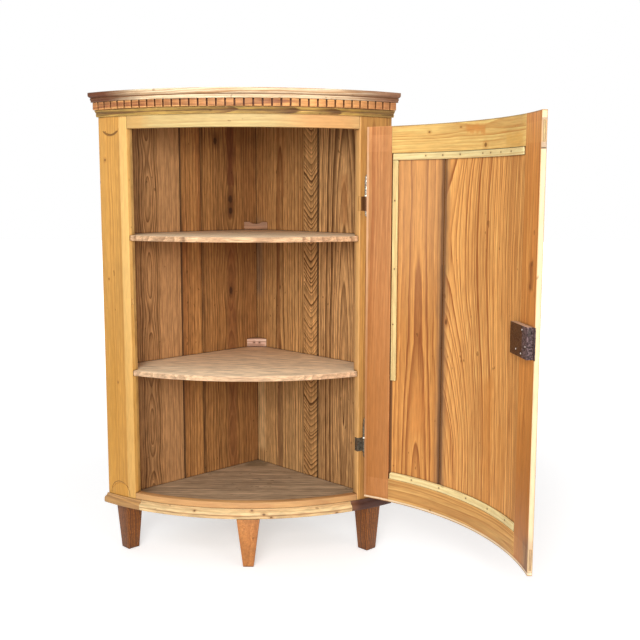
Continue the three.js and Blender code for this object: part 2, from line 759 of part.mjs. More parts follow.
const beadStart = hingeStileAngle - battenStart / doorInner;
const topBead = bead(topBatten, lockStileAngle + topBattenEnd / doorInner, beadStart);
place(doorFrame, "door_bead_top", topBead, 0xe0bd72);
const lowBead = bead(lowBatten, lockStileAngle + lowBattenEnd / doorInner, beadStart);
const [slantX, slantY] = onArc(doorInner, beadStart);
const slant = new THREE.BoxGeometry(slantSize, slantSize, slantSize).rotateY(-halfTurn / 4);
slant.rotateZ(beadStart);
slant.translate(slantX, slantY, lowBatten[1] + slantSize * slantShare);
place(doorFrame, "door_bead_bottom", cut(lowBead, slant), 0xe0bd72);
const sideEnds = [beadStart - sideBattenWidth / doorInner, beadStart];
const sideBead = prism(band(doorInner + batten.face, doorInner + battenBack, ...sideEnds), ...sideBatten);
place(doorFrame, "door_bead_hinge", sideBead, 0xdcb468);

hingeLevels.forEach((level, i) => {
  place(doorFrame, `hinge_${hingeNames[i]}_door_leaf`, doorLeaf(level), 0x66605a, 0.5, 0.8);
});

// Lock on the inner face of the lock stile: x towards the hinges, y into the cupboard
const lockGroup = new THREE.Group();
const [lockX, lockY] = onArc(lockBack, lockAngle);
lockGroup.position.set(lockX, lockY, 0);
lockGroup.rotation.z = lockAngle;
doorFrame.add(lockGroup);

const lockTall = [lock.bottom, lock.top];
const inside = [lock.bottom + lock.wall, lock.top - lock.wall];
const boltTall = [bolt.bottom, bolt.top];
const caseStart = lockEnd + forendThick + gap;
const caseShell = box([caseStart, -lockEnd], [0, lock.thick], lockTall);
const coverBack = lock.thick - lock.wall;
const cavity = box([caseStart + lock.wall, -lockEnd - lock.wall], [-lock.wall, coverBack], inside);
const widened = [boltFace, boltTall].map(([low, high]) => [low - bolt.fit, high + bolt.fit]);
const boltWay = box([lockEnd - bolt.fit, caseStart + lock.wall + bolt.fit], ...widened);
const middle = (bolt.bottom + bolt.top) / 2;

// A round bar through the lock from front to back
function across(radius, x, level, [from, to]) {
  const bar = new THREE.CylinderGeometry(radius, radius, to - from, roundSides);
  return bar.translate(x, (from + to) / 2, level);
}

const stumpBar = across(stump.radius, stump.x, middle, [bolt.depth, lock.thick - gap]);
place(lockGroup, "lock_case", join(cut(caseShell, cavity, boltWay), stumpBar), 0x6b4a35, 0.6, 0.5);
const plate = box([lockEnd, lockEnd + forendThick], [0, lock.thick], lockTall);
place(lockGroup, "lock_forend", cut(plate, boltWay), 0x4a3a38, 0.6, 0.6);

const boltSpan = [lockEnd + gap, lockEnd + gap + bolt.length];
const slotHalf = stump.radius + bolt.fit;
const boltCuts = [
  box([stump.x, stump.x + boltTravel], [0, lock.thick], [middle - slotHalf, middle + slotHalf]),
  across(slotHalf, stump.x, middle, [0, lock.thick]),
  across(slotHalf, stump.x + boltTravel, middle, [0, lock.thick]),
  across(talon.radius, talon.x, bolt.bottom, [0, lock.thick]),
];
const boltBody = cut(box(boltSpan, boltFace, boltTall), ...boltCuts);
place(lockGroup, "lock_bolt", boltBody, 0x8a7a60, 0.4, 0.8);

export default cupboard;
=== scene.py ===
import json
import math
import bpy
from mathutils import Matrix, Vector


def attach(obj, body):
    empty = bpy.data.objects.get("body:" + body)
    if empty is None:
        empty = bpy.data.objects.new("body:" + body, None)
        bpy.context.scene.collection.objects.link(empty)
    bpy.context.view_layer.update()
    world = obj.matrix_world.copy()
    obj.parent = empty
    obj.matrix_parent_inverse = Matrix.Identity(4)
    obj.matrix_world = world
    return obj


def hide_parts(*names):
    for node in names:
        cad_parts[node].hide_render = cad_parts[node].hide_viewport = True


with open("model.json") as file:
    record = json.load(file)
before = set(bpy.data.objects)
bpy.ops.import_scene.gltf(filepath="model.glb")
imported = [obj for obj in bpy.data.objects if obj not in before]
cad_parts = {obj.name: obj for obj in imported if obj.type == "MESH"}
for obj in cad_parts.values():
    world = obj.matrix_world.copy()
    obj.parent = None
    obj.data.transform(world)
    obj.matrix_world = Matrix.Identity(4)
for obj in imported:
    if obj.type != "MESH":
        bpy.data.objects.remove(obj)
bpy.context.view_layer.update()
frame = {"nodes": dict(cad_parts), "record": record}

# The cupboard's own places, in metres and radians
BOW_RADIUS = 0.586
BOW_CENTRE = (0.0, 0.1535, 0.0)
BACK_CORNER = (0.0, 0.036, 0.0)
HINGE_PIN = (0.296113, -0.36376, 0.0)
DOOR_OPEN = math.radians(122.2)
OPENING_ANGLE = math.radians(28.41)
DOOR_OVERLAP = 0.0092
DOOR_ANGLE = OPENING_ANGLE + DOOR_OVERLAP / BOW_RADIUS
FAR = 9.0

# The photo's camera: its place in metres, its lens in pixels and its angles in degrees
CAMERA_PLACE = (0.20972, -2.64607, 0.91356)
LENS_PIXELS = 940.38
PICTURE_PIXELS = 640
SENSOR_WIDTH = 36
CAMERA_TURN = 0.62
CAMERA_DIP = 7.75
CAMERA_ROLL = 0.11


def make_camera():
    data = bpy.data.cameras.new("view")
    camera = bpy.data.objects.new("view", data)
    bpy.context.collection.objects.link(camera)
    data.sensor_width = SENSOR_WIDTH
    data.lens = LENS_PIXELS * SENSOR_WIDTH / PICTURE_PIXELS
    data.clip_end = 30
    turn = Matrix.Rotation(math.radians(CAMERA_TURN), 4, "Z")
    tip = Matrix.Rotation(math.radians(90 - CAMERA_DIP), 4, "X")
    roll = Matrix.Rotation(math.radians(CAMERA_ROLL), 4, "Z")
    camera.matrix_world = Matrix.Translation(CAMERA_PLACE) @ turn @ tip @ roll
    bpy.context.scene.camera = camera


make_camera()
bpy.ops.object.select_all(action="DESELECT")


# Node trees, built by small helpers
def feed(tree, socket, value):
    """Give a socket a link from another node, or a fixed value."""
    if isinstance(value, bpy.types.NodeSocket):
        tree.links.new(value, socket)
    else:
        socket.default_value = value


def put(tree, kind, inputs=None, **settings):
    node = tree.nodes.new(kind)
    for name, value in settings.items():
        setattr(node, name, value)
    for key, value in (inputs or {}).items():
        feed(tree, node.inputs[key], value)
    return node


def calc(tree, operation, *values):
    node = put(tree, "ShaderNodeMath", operation=operation)
    for socket, value in zip(node.inputs, values):
        feed(tree, socket, value)
    return node.outputs[0]


def times(tree, one, other):
    return calc(tree, "MULTIPLY", one, other)


def split(tree, vector):
    return put(tree, "ShaderNodeSeparateXYZ", {0: vector}).outputs


def joined(tree, x, y, z):
    return put(tree, "ShaderNodeCombineXYZ", {0: x, 1: y, 2: z}).outputs[0]


def square_sum(tree, one, other):
    return calc(tree, "ADD", times(tree, one, one), times(tree, other, other))


def moved(tree, vector, by, operation="ADD"):
    return put(tree, "ShaderNodeVectorMath", {0: vector, 1: by}, operation=operation).outputs[0]


def scaled(tree, vector, scale):
    return put(tree, "ShaderNodeMapping", {"Vector": vector, "Scale": scale}).outputs[0]


def noise(tree, vector, scale=1.0, detail=2.0, roughness=0.5):
    inputs = {"Vector": vector, "Scale": scale, "Detail": detail, "Roughness": roughness}
    return put(tree, "ShaderNodeTexNoise", inputs).outputs[0]


def centred_noise(tree, vector, scale=1.0, detail=2.0):
    return calc(tree, "SUBTRACT", noise(tree, vector, scale, detail), 0.5)


def fade(tree, value, low, high, start=0.0, end=1.0):
    """Go smoothly from start to end while the value goes from low to high."""
    inputs = {"Value": value, "From Min": low, "From Max": high, "To Min": start, "To Max": end}
    return put(tree, "ShaderNodeMapRange", inputs, interpolation_type="SMOOTHSTEP").outputs[0]


def blend(tree, share, under, over, kind="MIX"):
    """Lay one colour over another. Sockets 0, 6 and 7 of the mix node are its share and its two colours."""
    return put(tree, "ShaderNodeMix", {0: share, 6: under, 7: over}, data_type="RGBA", blend_type=kind).outputs[2]


def paint(tree, under, tint, mask, share=None):
    """Lay a tint over a colour where the mask is, as strongly as the share says."""
    strength = mask if share is None else times(tree, mask, share)
    return blend(tree, strength, under, (*tint, 1))


def shade(colour, factor):
    return tuple(c * factor for c in colour)


def new_group(name, takes, gives):
    tree = bpy.data.node_groups.new(name, "ShaderNodeTree")
    for label, kind, value in takes:
        socket = tree.interface.new_socket(label, in_out="INPUT", socket_type="NodeSocket" + kind)
        if value is not None:
            socket.default_value = value
    for label, kind in gives:
        tree.interface.new_socket(label, in_out="OUTPUT", socket_type="NodeSocket" + kind)
    return tree, tree.nodes.new("NodeGroupInput").outputs, tree.nodes.new("NodeGroupOutput")


def finish_group(tree, end, results):
    for label, socket in results.items():
        tree.links.new(socket, end.inputs[label])
    return tree


def use(tree, group, **inputs):
    node = put(tree, "ShaderNodeGroup", node_tree=group)
    for label, value in inputs.items():
        feed(tree, node.inputs[label.replace("_", " ")], value)
    return node.outputs


def object_place(tree):
    return tree.nodes.new("ShaderNodeTexCoord").outputs["Object"]


def surface_normal(tree):
    return tree.nodes.new("ShaderNodeNewGeometry").outputs["Normal"]


def turned(tree, vector, angle, centre=(0, 0, 0)):
    inputs = {"Vector": vector, "Center": centre, "Angle": angle}
    return put(tree, "ShaderNodeVectorRotate", inputs, rotation_type="Z_AXIS").outputs[0]


def build_bow_places():
    """Length round the bow, depth through it and height, with the door swung shut."""
    tree, start, end = new_group("bow places", [("Turn", "Float", 0.0)], [("Place", "Vector")])
    shut = turned(tree, object_place(tree), start["Turn"], HINGE_PIN)
    across, behind, up = split(tree, moved(tree, shut, BOW_CENTRE, "SUBTRACT"))
    ahead = times(tree, behind, -1.0)
    length = times(tree, calc(tree, "ARCTAN2", across, ahead), BOW_RADIUS)
    depth = calc(tree, "SUBTRACT", calc(tree, "SQRT", square_sum(tree, across, ahead)), BOW_RADIUS)
    return finish_group(tree, end, {"Place": joined(tree, length, depth, up)})


def build_wall_places():
    """Length along a wall from the back corner, depth and height."""
    tree, start, end = new_group("wall places", [("Turn", "Float", 0.0)], [("Place", "Vector")])
    from_corner = moved(tree, object_place(tree), BACK_CORNER, "SUBTRACT")
    return finish_group(tree, end, {"Place": turned(tree, from_corner, start["Turn"])})


def build_flat_places():
    """Places on a level board, its grain running from side to side."""
    tree, start, end = new_group("level places", [("Turn", "Float", 0.0)], [("Place", "Vector")])
    across, back, up = split(tree, turned(tree, object_place(tree), start["Turn"]))
    return finish_group(tree, end, {"Place": joined(tree, back, up, across)})


# Numbers of the grain: how it strays, and how a ring of one year darkens, ends and stands up
SIDE_WANDER = 0.012
CHEVRON_ROUNDING = 0.00002
YEAR_SPREAD = 2.2
RING_POWER = 1.7
RING_END = 0.9
RING_RELIEF = 0.65
FIBRE_RELIEF = 0.35

# How fine each layer of its noise is, across, through and along the board
SLOW_GRAIN = (5, 5, 1.6)
QUICK_GRAIN = (26, 26, 5.0)
FIBRE_GRAIN = (900, 900, 22)
STREAK_GRAIN = (330, 330, 8)
TONE_GRAIN = (17, 17, 1.9)
MOTTLE_GRAIN = (170, 170, 24)


def build_grain():
    """Growth rings of a sawn pine board that runs along Z of the places."""
    takes = [("Place", "Vector", None), ("Heart", "Float", 0.0), ("Depth", "Float", 0.03),
             ("Rise", "Float", 0.02), ("Swell", "Float", 0.0), ("Swell at", "Float", 0.0),
             ("Swell length", "Float", 0.2), ("Spacing", "Float", 0.008), ("Wander", "Float", 0.03),
             ("Chevron", "Float", 0.0), ("Top", "Float", FAR), ("Seed", "Float", 0.0)]
    gives = [(label, "Float") for label in ("Rings", "Pale", "Fibre", "Tone", "Mottle", "Height")]
    tree, start, end = new_group("pine grain", takes, gives)
    seed = joined(tree, start["Seed"], start["Seed"], start["Seed"])
    place = moved(tree, start["Place"], seed)
    slow = centred_noise(tree, scaled(tree, place, SLOW_GRAIN), 1.0, 1.5)
    quick = centred_noise(tree, scaled(tree, place, QUICK_GRAIN))
    across, _, up = split(tree, start["Place"])

    # The board is a cut through nested cones: each ring is a line at one distance from their heart
    side = calc(tree, "SUBTRACT", across, start["Heart"])
    side = calc(tree, "ADD", side, times(tree, quick, SIDE_WANDER))
    deep = calc(tree, "MULTIPLY_ADD", calc(tree, "MINIMUM", up, start["Top"]), start["Rise"], start["Depth"])
    deep = calc(tree, "MULTIPLY_ADD", slow, start["Wander"], deep)
    away = calc(tree, "SQRT", calc(tree, "MULTIPLY_ADD", side, side, CHEVRON_ROUNDING))
    deep = calc(tree, "MULTIPLY_ADD", away, start["Chevron"], deep)
    turns = calc(tree, "DIVIDE", calc(tree, "SUBTRACT", up, start["Swell at"]), start["Swell length"])
    wave = calc(tree, "COSINE", times(tree, turns, 2 * math.pi))
    deep = calc(tree, "SUBTRACT", deep, times(tree, wave, start["Swell"]))
    count = calc(tree, "DIVIDE", calc(tree, "SQRT", square_sum(tree, side, deep)), start["Spacing"])
    uneven = centred_noise(tree, joined(tree, count, start["Seed"], 0.0), 0.55, 1.0)
    count = calc(tree, "MULTIPLY_ADD", uneven, YEAR_SPREAD, count)

    # Each ring darkens slowly and ends sharply, some years more than others
    ring = calc(tree, "FRACT", count)
    year = calc(tree, "ADD", calc(tree, "FLOOR", count), start["Seed"])
    luck = put(tree, "ShaderNodeTexWhiteNoise", {"W": year}, noise_dimensions="1D").outputs[0]
    late = times(tree, calc(tree, "POWER", ring, RING_POWER), fade(tree, ring, RING_END, 1.0, 1.0, 0.0))
    late = times(tree, late, calc(tree, "MULTIPLY_ADD", luck, 0.8, 0.45))
    fibre = noise(tree, scaled(tree, place, FIBRE_GRAIN), 1.0, 2.0)
    streak = noise(tree, scaled(tree, place, STREAK_GRAIN), 1.0, 2.0)
    tone = noise(tree, scaled(tree, place, TONE_GRAIN), 1.0, 2.5)
    mottle = noise(tree, scaled(tree, place, MOTTLE_GRAIN), 1.0, 3.0, 0.6)
    rings = times(tree, late, calc(tree, "MULTIPLY_ADD", fibre, 0.8, 0.7))
    rings = calc(tree, "ADD", rings, fade(tree, streak, 0.5, 0.78, 0.0, 0.5))
    pale = times(tree, fade(tree, streak, 0.5, 0.25), fade(tree, ring, 0.55, 0.15))
    height = calc(tree, "MULTIPLY_ADD", fibre, FIBRE_RELIEF, times(tree, late, RING_RELIEF))
    return finish_group(tree, end, {"Rings": rings, "Pale": pale, "Fibre": fibre, "Tone": tone,
                                    "Mottle": mottle, "Height": height})


def build_knot():
    """A knot or nail head at one place of a surface, with a ring of stain round it."""
    takes = [("Place", "Vector", None), ("Across", "Float", 0.0), ("Up", "Float", 0.0),
             ("Width", "Float", 0.008), ("Tall", "Float", 0.012)]
    tree, start, end = new_group("knot", takes, [("Core", "Float"), ("Halo", "Float")])
    across, _, up = split(tree, start["Place"])
    waver = centred_noise(tree, start["Place"], 160.0)
    side = calc(tree, "DIVIDE", calc(tree, "SUBTRACT", across, start["Across"]), start["Width"])
    rise = calc(tree, "DIVIDE", calc(tree, "SUBTRACT", up, start["Up"]), start["Tall"])
    far = calc(tree, "MULTIPLY_ADD", waver, 0.6, calc(tree, "SQRT", square_sum(tree, side, rise)))
    core = fade(tree, far, 0.55, 1.0, 1.0, 0.0)
    halo = fade(tree, far, 0.9, 2.6, 1.0, 0.0)
    return finish_group(tree, end, {"Core": core, "Halo": halo})


def between(tree, value, low, high, soft):
    """One between low and high and nought outside them, with soft ends."""
    rise = calc(tree, "DIVIDE", calc(tree, "SUBTRACT", value, low), soft)
    fall = calc(tree, "DIVIDE", calc(tree, "SUBTRACT", high, value), soft)
    return fade(tree, calc(tree, "MINIMUM", rise, fall), -0.5, 0.5)


def build_band():
    """A band of one coordinate, with soft ends."""
    takes = [("Value", "Float", 0.0), ("From", "Float", 0.0), ("To", "Float", 1.0), ("Soft", "Float", 0.001)]
    tree, start, end = new_group("soft band", takes, [("Mask", "Float")])
    mask = between(tree, start["Value"], start["From"], start["To"], start["Soft"])
    return finish_group(tree, end, {"Mask": mask})


def build_patch():
    """A patch of a surface with soft, wavering sides."""
    takes = [("Place", "Vector", None), ("Left", "Float", -FAR), ("Right", "Float", FAR),
             ("Low", "Float", -FAR), ("High", "Float", FAR), ("Soft", "Float", 0.001), ("Waver", "Float", 0.0)]
    tree, start, end = new_group("soft patch", takes, [("Mask", "Float")])
    drift = times(tree, centred_noise(tree, scaled(tree, start["Place"], (60, 60, 25))), start["Waver"])
    across, _, up = split(tree, start["Place"])
    wide = between(tree, calc(tree, "ADD", across, drift), start["Left"], start["Right"], start["Soft"])
    tall = between(tree, calc(tree, "ADD", up, drift), start["Low"], start["High"], start["Soft"])
    return finish_group(tree, end, {"Mask": times(tree, wide, tall)})


def build_specks():
    """Scattered small dark marks, bruises and worm holes."""
    takes = [("Place", "Vector", None), ("Scale", "Float", 60.0), ("Share", "Float", 0.1), ("Seed", "Float", 0.0)]
    tree, start, end = new_group("old marks", takes, [("Mask", "Float")])
    seed = joined(tree, start["Seed"], 0.0, start["Seed"])
    place = moved(tree, start["Place"], seed)
    spots = noise(tree, scaled(tree, place, (1, 1, 0.6)), start["Scale"], 1.0)
    few = noise(tree, place, 6.0, 1.0)
    level = times(tree, spots, calc(tree, "MULTIPLY_ADD", few, 0.5, 0.75))
    limit = calc(tree, "SUBTRACT", 0.86, start["Share"])
    mask = fade(tree, calc(tree, "SUBTRACT", level, limit), 0.0, 0.05)
    return finish_group(tree, end, {"Mask": mask})


def build_arc():
    """A thin line scribed round a centre."""
    takes = [("Place", "Vector", None), ("Across", "Float", 0.0), ("Up", "Float", 0.0), ("Radius", "Float", 0.03),
             ("Width", "Float", 0.001)]
    tree, start, end = new_group("scribed arc", takes, [("Mask", "Float")])
    across, _, up = split(tree, start["Place"])
    side = calc(tree, "SUBTRACT", across, start["Across"])
    rise = calc(tree, "SUBTRACT", up, start["Up"])
    far = calc(tree, "SQRT", square_sum(tree, side, rise))
    off = calc(tree, "ABSOLUTE", calc(tree, "SUBTRACT", far, start["Radius"]))
    near = calc(tree, "DIVIDE", off, start["Width"])
    return finish_group(tree, end, {"Mask": fade(tree, near, 0.5, 1.2, 1.0, 0.0)})


BOW = build_bow_places()
WALL = build_wall_places()
LEVEL = build_flat_places()
GRAIN = build_grain()
KNOT = build_knot()
BAND = build_band()
PATCH = build_patch()
MARKS = build_specks()
ARC = build_arc()


SPECULAR_LEVEL = 0.3


def start_material(name):
    """An empty material with a shader and an output, joined."""
    material = bpy.data.materials.new(name)
    material.use_nodes = True
    tree = material.node_tree
    tree.nodes.clear()
    shader = tree.nodes.new("ShaderNodeBsdfPrincipled")
    out = tree.nodes.new("ShaderNodeOutputMaterial")
    tree.links.new(shader.outputs[0], out.inputs[0])
    shader.inputs["Specular IOR Level"].default_value = SPECULAR_LEVEL
    return material, tree, shader


def finish_material(material, shader, colour, rough, bump):
    links = material.node_tree.links
    links.new(colour, shader.inputs["Base Color"])
    links.new(rough, shader.inputs["Roughness"])
    links.new(bump.outputs[0], shader.inputs["Normal"])
    return material


# Shared by all the pine finishes: sizes in metres, and how strongly a tint is laid on
NAIL_SIZE = 0.0024
NAIL_COLOUR = (0.05, 0.03, 0.02)
NAIL_CORE, NAIL_HALO = 0.9, 0.3
KNOT_CORE, KNOT_HALO = 0.85, 0.45
ARC_SHARE = 0.8
ARC_END_SOFT = 0.002
INNER_SOFT = 0.0005
MARK_SCALE = 75.0
MARK_SHARE = 0.5
# How far the painted shade in corners and creases reaches
SHADE_REACH = 0.006
WEAR_REACH = 0.0035
WEAR_GRAIN = (40, 40, 12)
CORNER_SAMPLES = 6
RELIEF_DEPTH = 0.001
LIGHTEST = 0.92


def pine(name, places, pale, dark, turn=0.0, sideways=False, heart=0.0, depth=0.03, rise=0.02, swell=0.0,
         swell_at=0.0, swell_length=0.2, spacing=0.008, wander=0.03, chevron=0.0, top=FAR, seed=0.0,
         contrast=0.75, streak=None, streak_share=0.6, light_share=0.55, knots=(), nails=(), bands=(),
         patches=(), arcs=(), marks=0.10, gloss=0.42, relief=0.12, faces=None, corner_shade=0.85, wear=0.5,
         blotch=0.09, fine=0.3, inner=None):
    """A pine finish. The places give across, depth and up on the board, and sideways turns its grain.

    The grain: the heart of the rings lies at heart across. Its depth behind the surface grows by rise for
    each metre up, as far as the height top, swings by swell once each swell_length, and strays by wander.
    It also grows by chevron for each metre beside the heart, and a new ring begins each spacing.
    The marks, in places: a band is (axis, from, to, soft, colour, share), a patch is (left, right, low, high,
    soft, waver, colour, share), an arc is (across, up, radius, width, low, high), a knot is (across, up, width,
    tall) and a nail is (across, up). Patches stop at the depth inner, if it is given.
    The rest: marks scatters small bruises, faces paints light on what looks up, blotch mottles, fine draws
    fibres, painted shade darkens corners and creases, and wear lightens arrises."""
    material, tree, shader = start_material(name)
    place = use(tree, places, Turn=turn)["Place"]
    axes = split(tree, place)
    along = joined(tree, axes[2], axes[1], axes[0]) if sideways else place
    grain = use(tree, GRAIN, Place=along, Heart=heart, Depth=depth, Rise=rise, Swell=swell, Swell_at=swell_at,
                Swell_length=swell_length, Spacing=spacing, Wander=wander, Chevron=chevron, Top=top, Seed=seed)
    streak = streak or shade(pale, 0.68)
    light = tuple(min(LIGHTEST, c * 1.35 + 0.04) for c in pale)
    deep = shade(dark, 0.35)

    # The clean wood
    colour = paint(tree, (*pale, 1), streak, fade(tree, grain["Tone"], 0.40, 0.66, 0.0, streak_share))
    colour = paint(tree, colour, light, grain["Pale"], light_share)
    colour = paint(tree, colour, dark, calc(tree, "MINIMUM", times(tree, grain["Rings"], contrast), 1.0))
    colour = paint(tree, colour, dark, fade(tree, grain["Fibre"], 0.45, 0.75), fine)

    # What lies at one place of it
    for axis, low, high, soft, tint, share in bands:
        mask = use(tree, BAND, Value=axes[axis], From=low, To=high, Soft=soft)["Mask"]
        colour = paint(tree, colour, tint, mask, share)
    for left, right, low, high, soft, waver, tint, share in patches:
        mask = use(tree, PATCH, Place=place, Left=left, Right=right, Low=low, High=high, Soft=soft,
                   Waver=waver)["Mask"]
        if inner:
            mask = times(tree, mask, fade(tree, axes[1], inner, inner + INNER_SOFT, 1.0, 0.0))
        colour = paint(tree, colour, tint, mask, share)
    for across, up, radius, width, low, high in arcs:
        arc = use(tree, ARC, Place=place, Across=across, Up=up, Radius=radius, Width=width)["Mask"]
        there = use(tree, PATCH, Place=place, Low=low, High=high, Soft=ARC_END_SOFT)["Mask"]
        colour = paint(tree, colour, deep, times(tree, arc, there), ARC_SHARE)
    for across, up, wide, tall in knots:
        knot = use(tree, KNOT, Place=place, Across=across, Up=up, Width=wide, Tall=tall)
        colour = paint(tree, colour, dark, knot["Halo"], KNOT_HALO)
        colour = paint(tree, colour, deep, knot["Core"], KNOT_CORE)
    for across, up in nails:
        nail = use(tree, KNOT, Place=place, Across=across, Up=up, Width=NAIL_SIZE, Tall=NAIL_SIZE)
        colour = paint(tree, colour, dark, nail["Halo"], NAIL_HALO)
        colour = paint(tree, colour, NAIL_COLOUR, nail["Core"], NAIL_CORE)

    # What age did all over it
    spots = use(tree, MARKS, Place=along, Scale=MARK_SCALE, Share=marks, Seed=seed)["Mask"]
    colour = paint(tree, colour, shade(dark, 0.4), spots, MARK_SHARE)
    # Painted light: the faces tint is laid on what looks up, as if lit from above.
    if faces:
        tint, share = faces
        colour = paint(tree, colour, tint, fade(tree, split(tree, surface_normal(tree))[2], 0.6, 0.9, 0.0, share))
    skin = fade(tree, grain["Mottle"], 0.3, 0.7, 1.0 - blotch, 1.0 + blotch * 0.7)
    colour = blend(tree, 1.0, colour, skin, "MULTIPLY")
    if wear:
        arris = put(tree, "ShaderNodeAmbientOcclusion", {"Distance": WEAR_REACH}, samples=CORNER_SAMPLES,
                    inside=True, only_local=True).outputs["AO"]
        rubbed = noise(tree, scaled(tree, along, WEAR_GRAIN), 1.0, 3.0, 0.6)
        patchy = fade(tree, rubbed, 0.35, 0.65, 0.25, 1.0)
        colour = paint(tree, colour, light, fade(tree, arris, 0.55, 0.92, wear, 0.0), patchy)
    # Painted shade: occluded corners, creases and gaps between parts are darkened.
    inputs = {"Distance": SHADE_REACH}
    corner = put(tree, "ShaderNodeAmbientOcclusion", inputs, samples=CORNER_SAMPLES).outputs["AO"]
    colour = paint(tree, colour, shade(dark, 0.22), fade(tree, corner, 0.25, 0.9, corner_shade, 0.0))
    rough = calc(tree, "MULTIPLY_ADD", grain["Tone"], 0.22, gloss)
    rough = calc(tree, "MULTIPLY_ADD", spots, 0.15, rough)
    inputs = {"Height": grain["Height"], "Strength": relief, "Distance": RELIEF_DEPTH}
    bump = put(tree, "ShaderNodeBump", inputs)
    return finish_material(material, shader, colour, rough, bump)


def metal(name, bright, dull, metallic=0.8, rough=(0.35, 0.65), scale=220.0, rust=None, rust_share=0.4):
    """Old metal with a mottled skin, paler on rubbed places."""
    material, tree, shader = start_material(name)
    where = object_place(tree)
    fine = noise(tree, where, scale, 4.0, 0.6)
    broad = noise(tree, where, scale * 0.22, 2.0)
    colour = blend(tree, fade(tree, fine, 0.35, 0.65), (*bright, 1), (*dull, 1))
    if rust:
        colour = paint(tree, colour, rust, fade(tree, broad, 0.45, 0.6, 0.0, rust_share))
    bump = put(tree, "ShaderNodeBump", {"Height": fine, "Strength": 0.35, "Distance": 0.0006})
    tree.links.new(fade(tree, fine, 0.4, 0.7, metallic, metallic * 0.6), shader.inputs["Metallic"])
    return finish_material(material, shader, colour, fade(tree, broad, 0.35, 0.65, *rough), bump)


# Finishes of the case
LEFT_TURN = math.radians(135)
RIGHT_TURN = math.radians(45)

stile_left = pine(
    "golden stile left", BOW, (0.68, 0.35, 0.080), (0.40, 0.16, 0.030), heart=-0.37, depth=0.012, rise=0.004,
    spacing=0.008, wander=0.02, seed=1.3, contrast=0.5, marks=0.12,
    # Painted shade: this band darkens the stile's edge faces behind its front face.
    bands=[(1, -0.03, -0.0115, 0.005, (0.13, 0.045, 0.012), 0.95)],
    patches=[(-0.3148, -0.29, -FAR, FAR, 0.004, 0.004, (0.88, 0.56, 0.20), 0.6),
             (-0.42, -0.386, -FAR, FAR, 0.01, 0.02, (0.50, 0.24, 0.06), 0.35),
             (-0.42, -0.28, 0.0, 0.55, 0.4, 0.02, (0.52, 0.235, 0.022), 0.6)],
    arcs=((-0.3442, 1.0823, 0.0331, 0.0030, 0.9, 1.0590), (-0.3418, 0.1514, 0.0322, 0.0010, 0.1500, 0.3)),
    knots=((-0.3646, 0.990, 0.0035, 0.004), (-0.3623, 0.6985, 0.0025, 0.003), (-0.34, 0.44, 0.002, 0.004)))
stile_right = pine(
    "golden stile right", BOW, (0.57, 0.275, 0.066), (0.28, 0.11, 0.025), heart=0.33, depth=0.02, rise=0.015,
    spacing=0.007, seed=2.7, contrast=0.75,
    # Painted shade: this band darkens the stile's edge faces behind its front face.
    bands=[(1, -0.03, -0.0115, 0.005, (0.18, 0.065, 0.016), 0.8)],
    patches=[(0.2895, 0.294, -FAR, FAR, 0.003, 0.003, (0.85, 0.50, 0.20), 0.5)])
frieze = pine(
    "pale frieze rail", BOW, (0.66, 0.505, 0.215), (0.42, 0.20, 0.06), sideways=True, heart=1.1, depth=0.03,
    rise=0.02, spacing=0.008, seed=3.1, contrast=0.6, marks=0.12,
    patches=[(-0.32, -0.235, -FAR, FAR, 0.05, 0.03, (0.62, 0.34, 0.10), 0.7),
             (0.12, 0.30, -FAR, FAR, 0.12, 0.02, (0.66, 0.33, 0.12), 0.8)])
rail = pine(
    "pink bottom rail", BOW, (0.68, 0.385, 0.15), (0.46, 0.20, 0.08), sideways=True, heart=0.15, depth=0.03,
    spacing=0.007, seed=4.2, contrast=0.7,
    # Painted shade: the rail's lowest strip is darkened along the crease above the base moulding.
    patches=[(-FAR, FAR, -FAR, 0.1455, 0.002, 0.001, (0.25, 0.11, 0.05), 0.7)])
crown = pine(
    "cornice crown", BOW, (0.96, 0.76, 0.50), (0.46, 0.22, 0.08), sideways=True, heart=1.16, depth=0.02,
    spacing=0.0045, seed=5.5, contrast=0.85, gloss=0.5, blotch=0.14, wear=0.15, fine=0.6, marks=0.15,
    patches=[(-0.6, -0.27, -FAR, FAR, 0.15, 0.02, (0.12, 0.030, 0.007), 0.98),
             (0.27, 0.6, -FAR, FAR, 0.20, 0.02, (0.19, 0.060, 0.022), 0.9),
             (-FAR, FAR, 1.1350, 1.1372, 0.001, 0.0, (0.24, 0.09, 0.035), 0.8)])
dentils = pine(
    "terracotta dentils", BOW, (0.74, 0.35, 0.115), (0.26, 0.08, 0.03), sideways=True, heart=1.12, depth=0.02,
    spacing=0.006, seed=6.4, contrast=0.8, blotch=0.30,
    # Painted shade: the recessed band between the dentils is darkened.
    bands=[(1, -0.02, 0.0125, 0.002, (0.20, 0.045, 0.018), 0.85)],
    patches=[(-0.6, -0.36, -FAR, FAR, 0.1, 0.02, (0.40, 0.15, 0.05), 0.5),
             (0.30, 0.6, -FAR, FAR, 0.1, 0.02, (0.40, 0.15, 0.05), 0.6)])
bed = pine(
    "ochre bed moulding", BOW, (0.54, 0.335, 0.080), (0.14, 0.06, 0.015), sideways=True, heart=1.1, depth=0.02,
    spacing=0.006, seed=7.7, contrast=1.3, wear=0.7, blotch=0.35,
    bands=[(2, 1.0995, 1.1022, 0.001, (0.20, 0.10, 0.04), 0.8)])
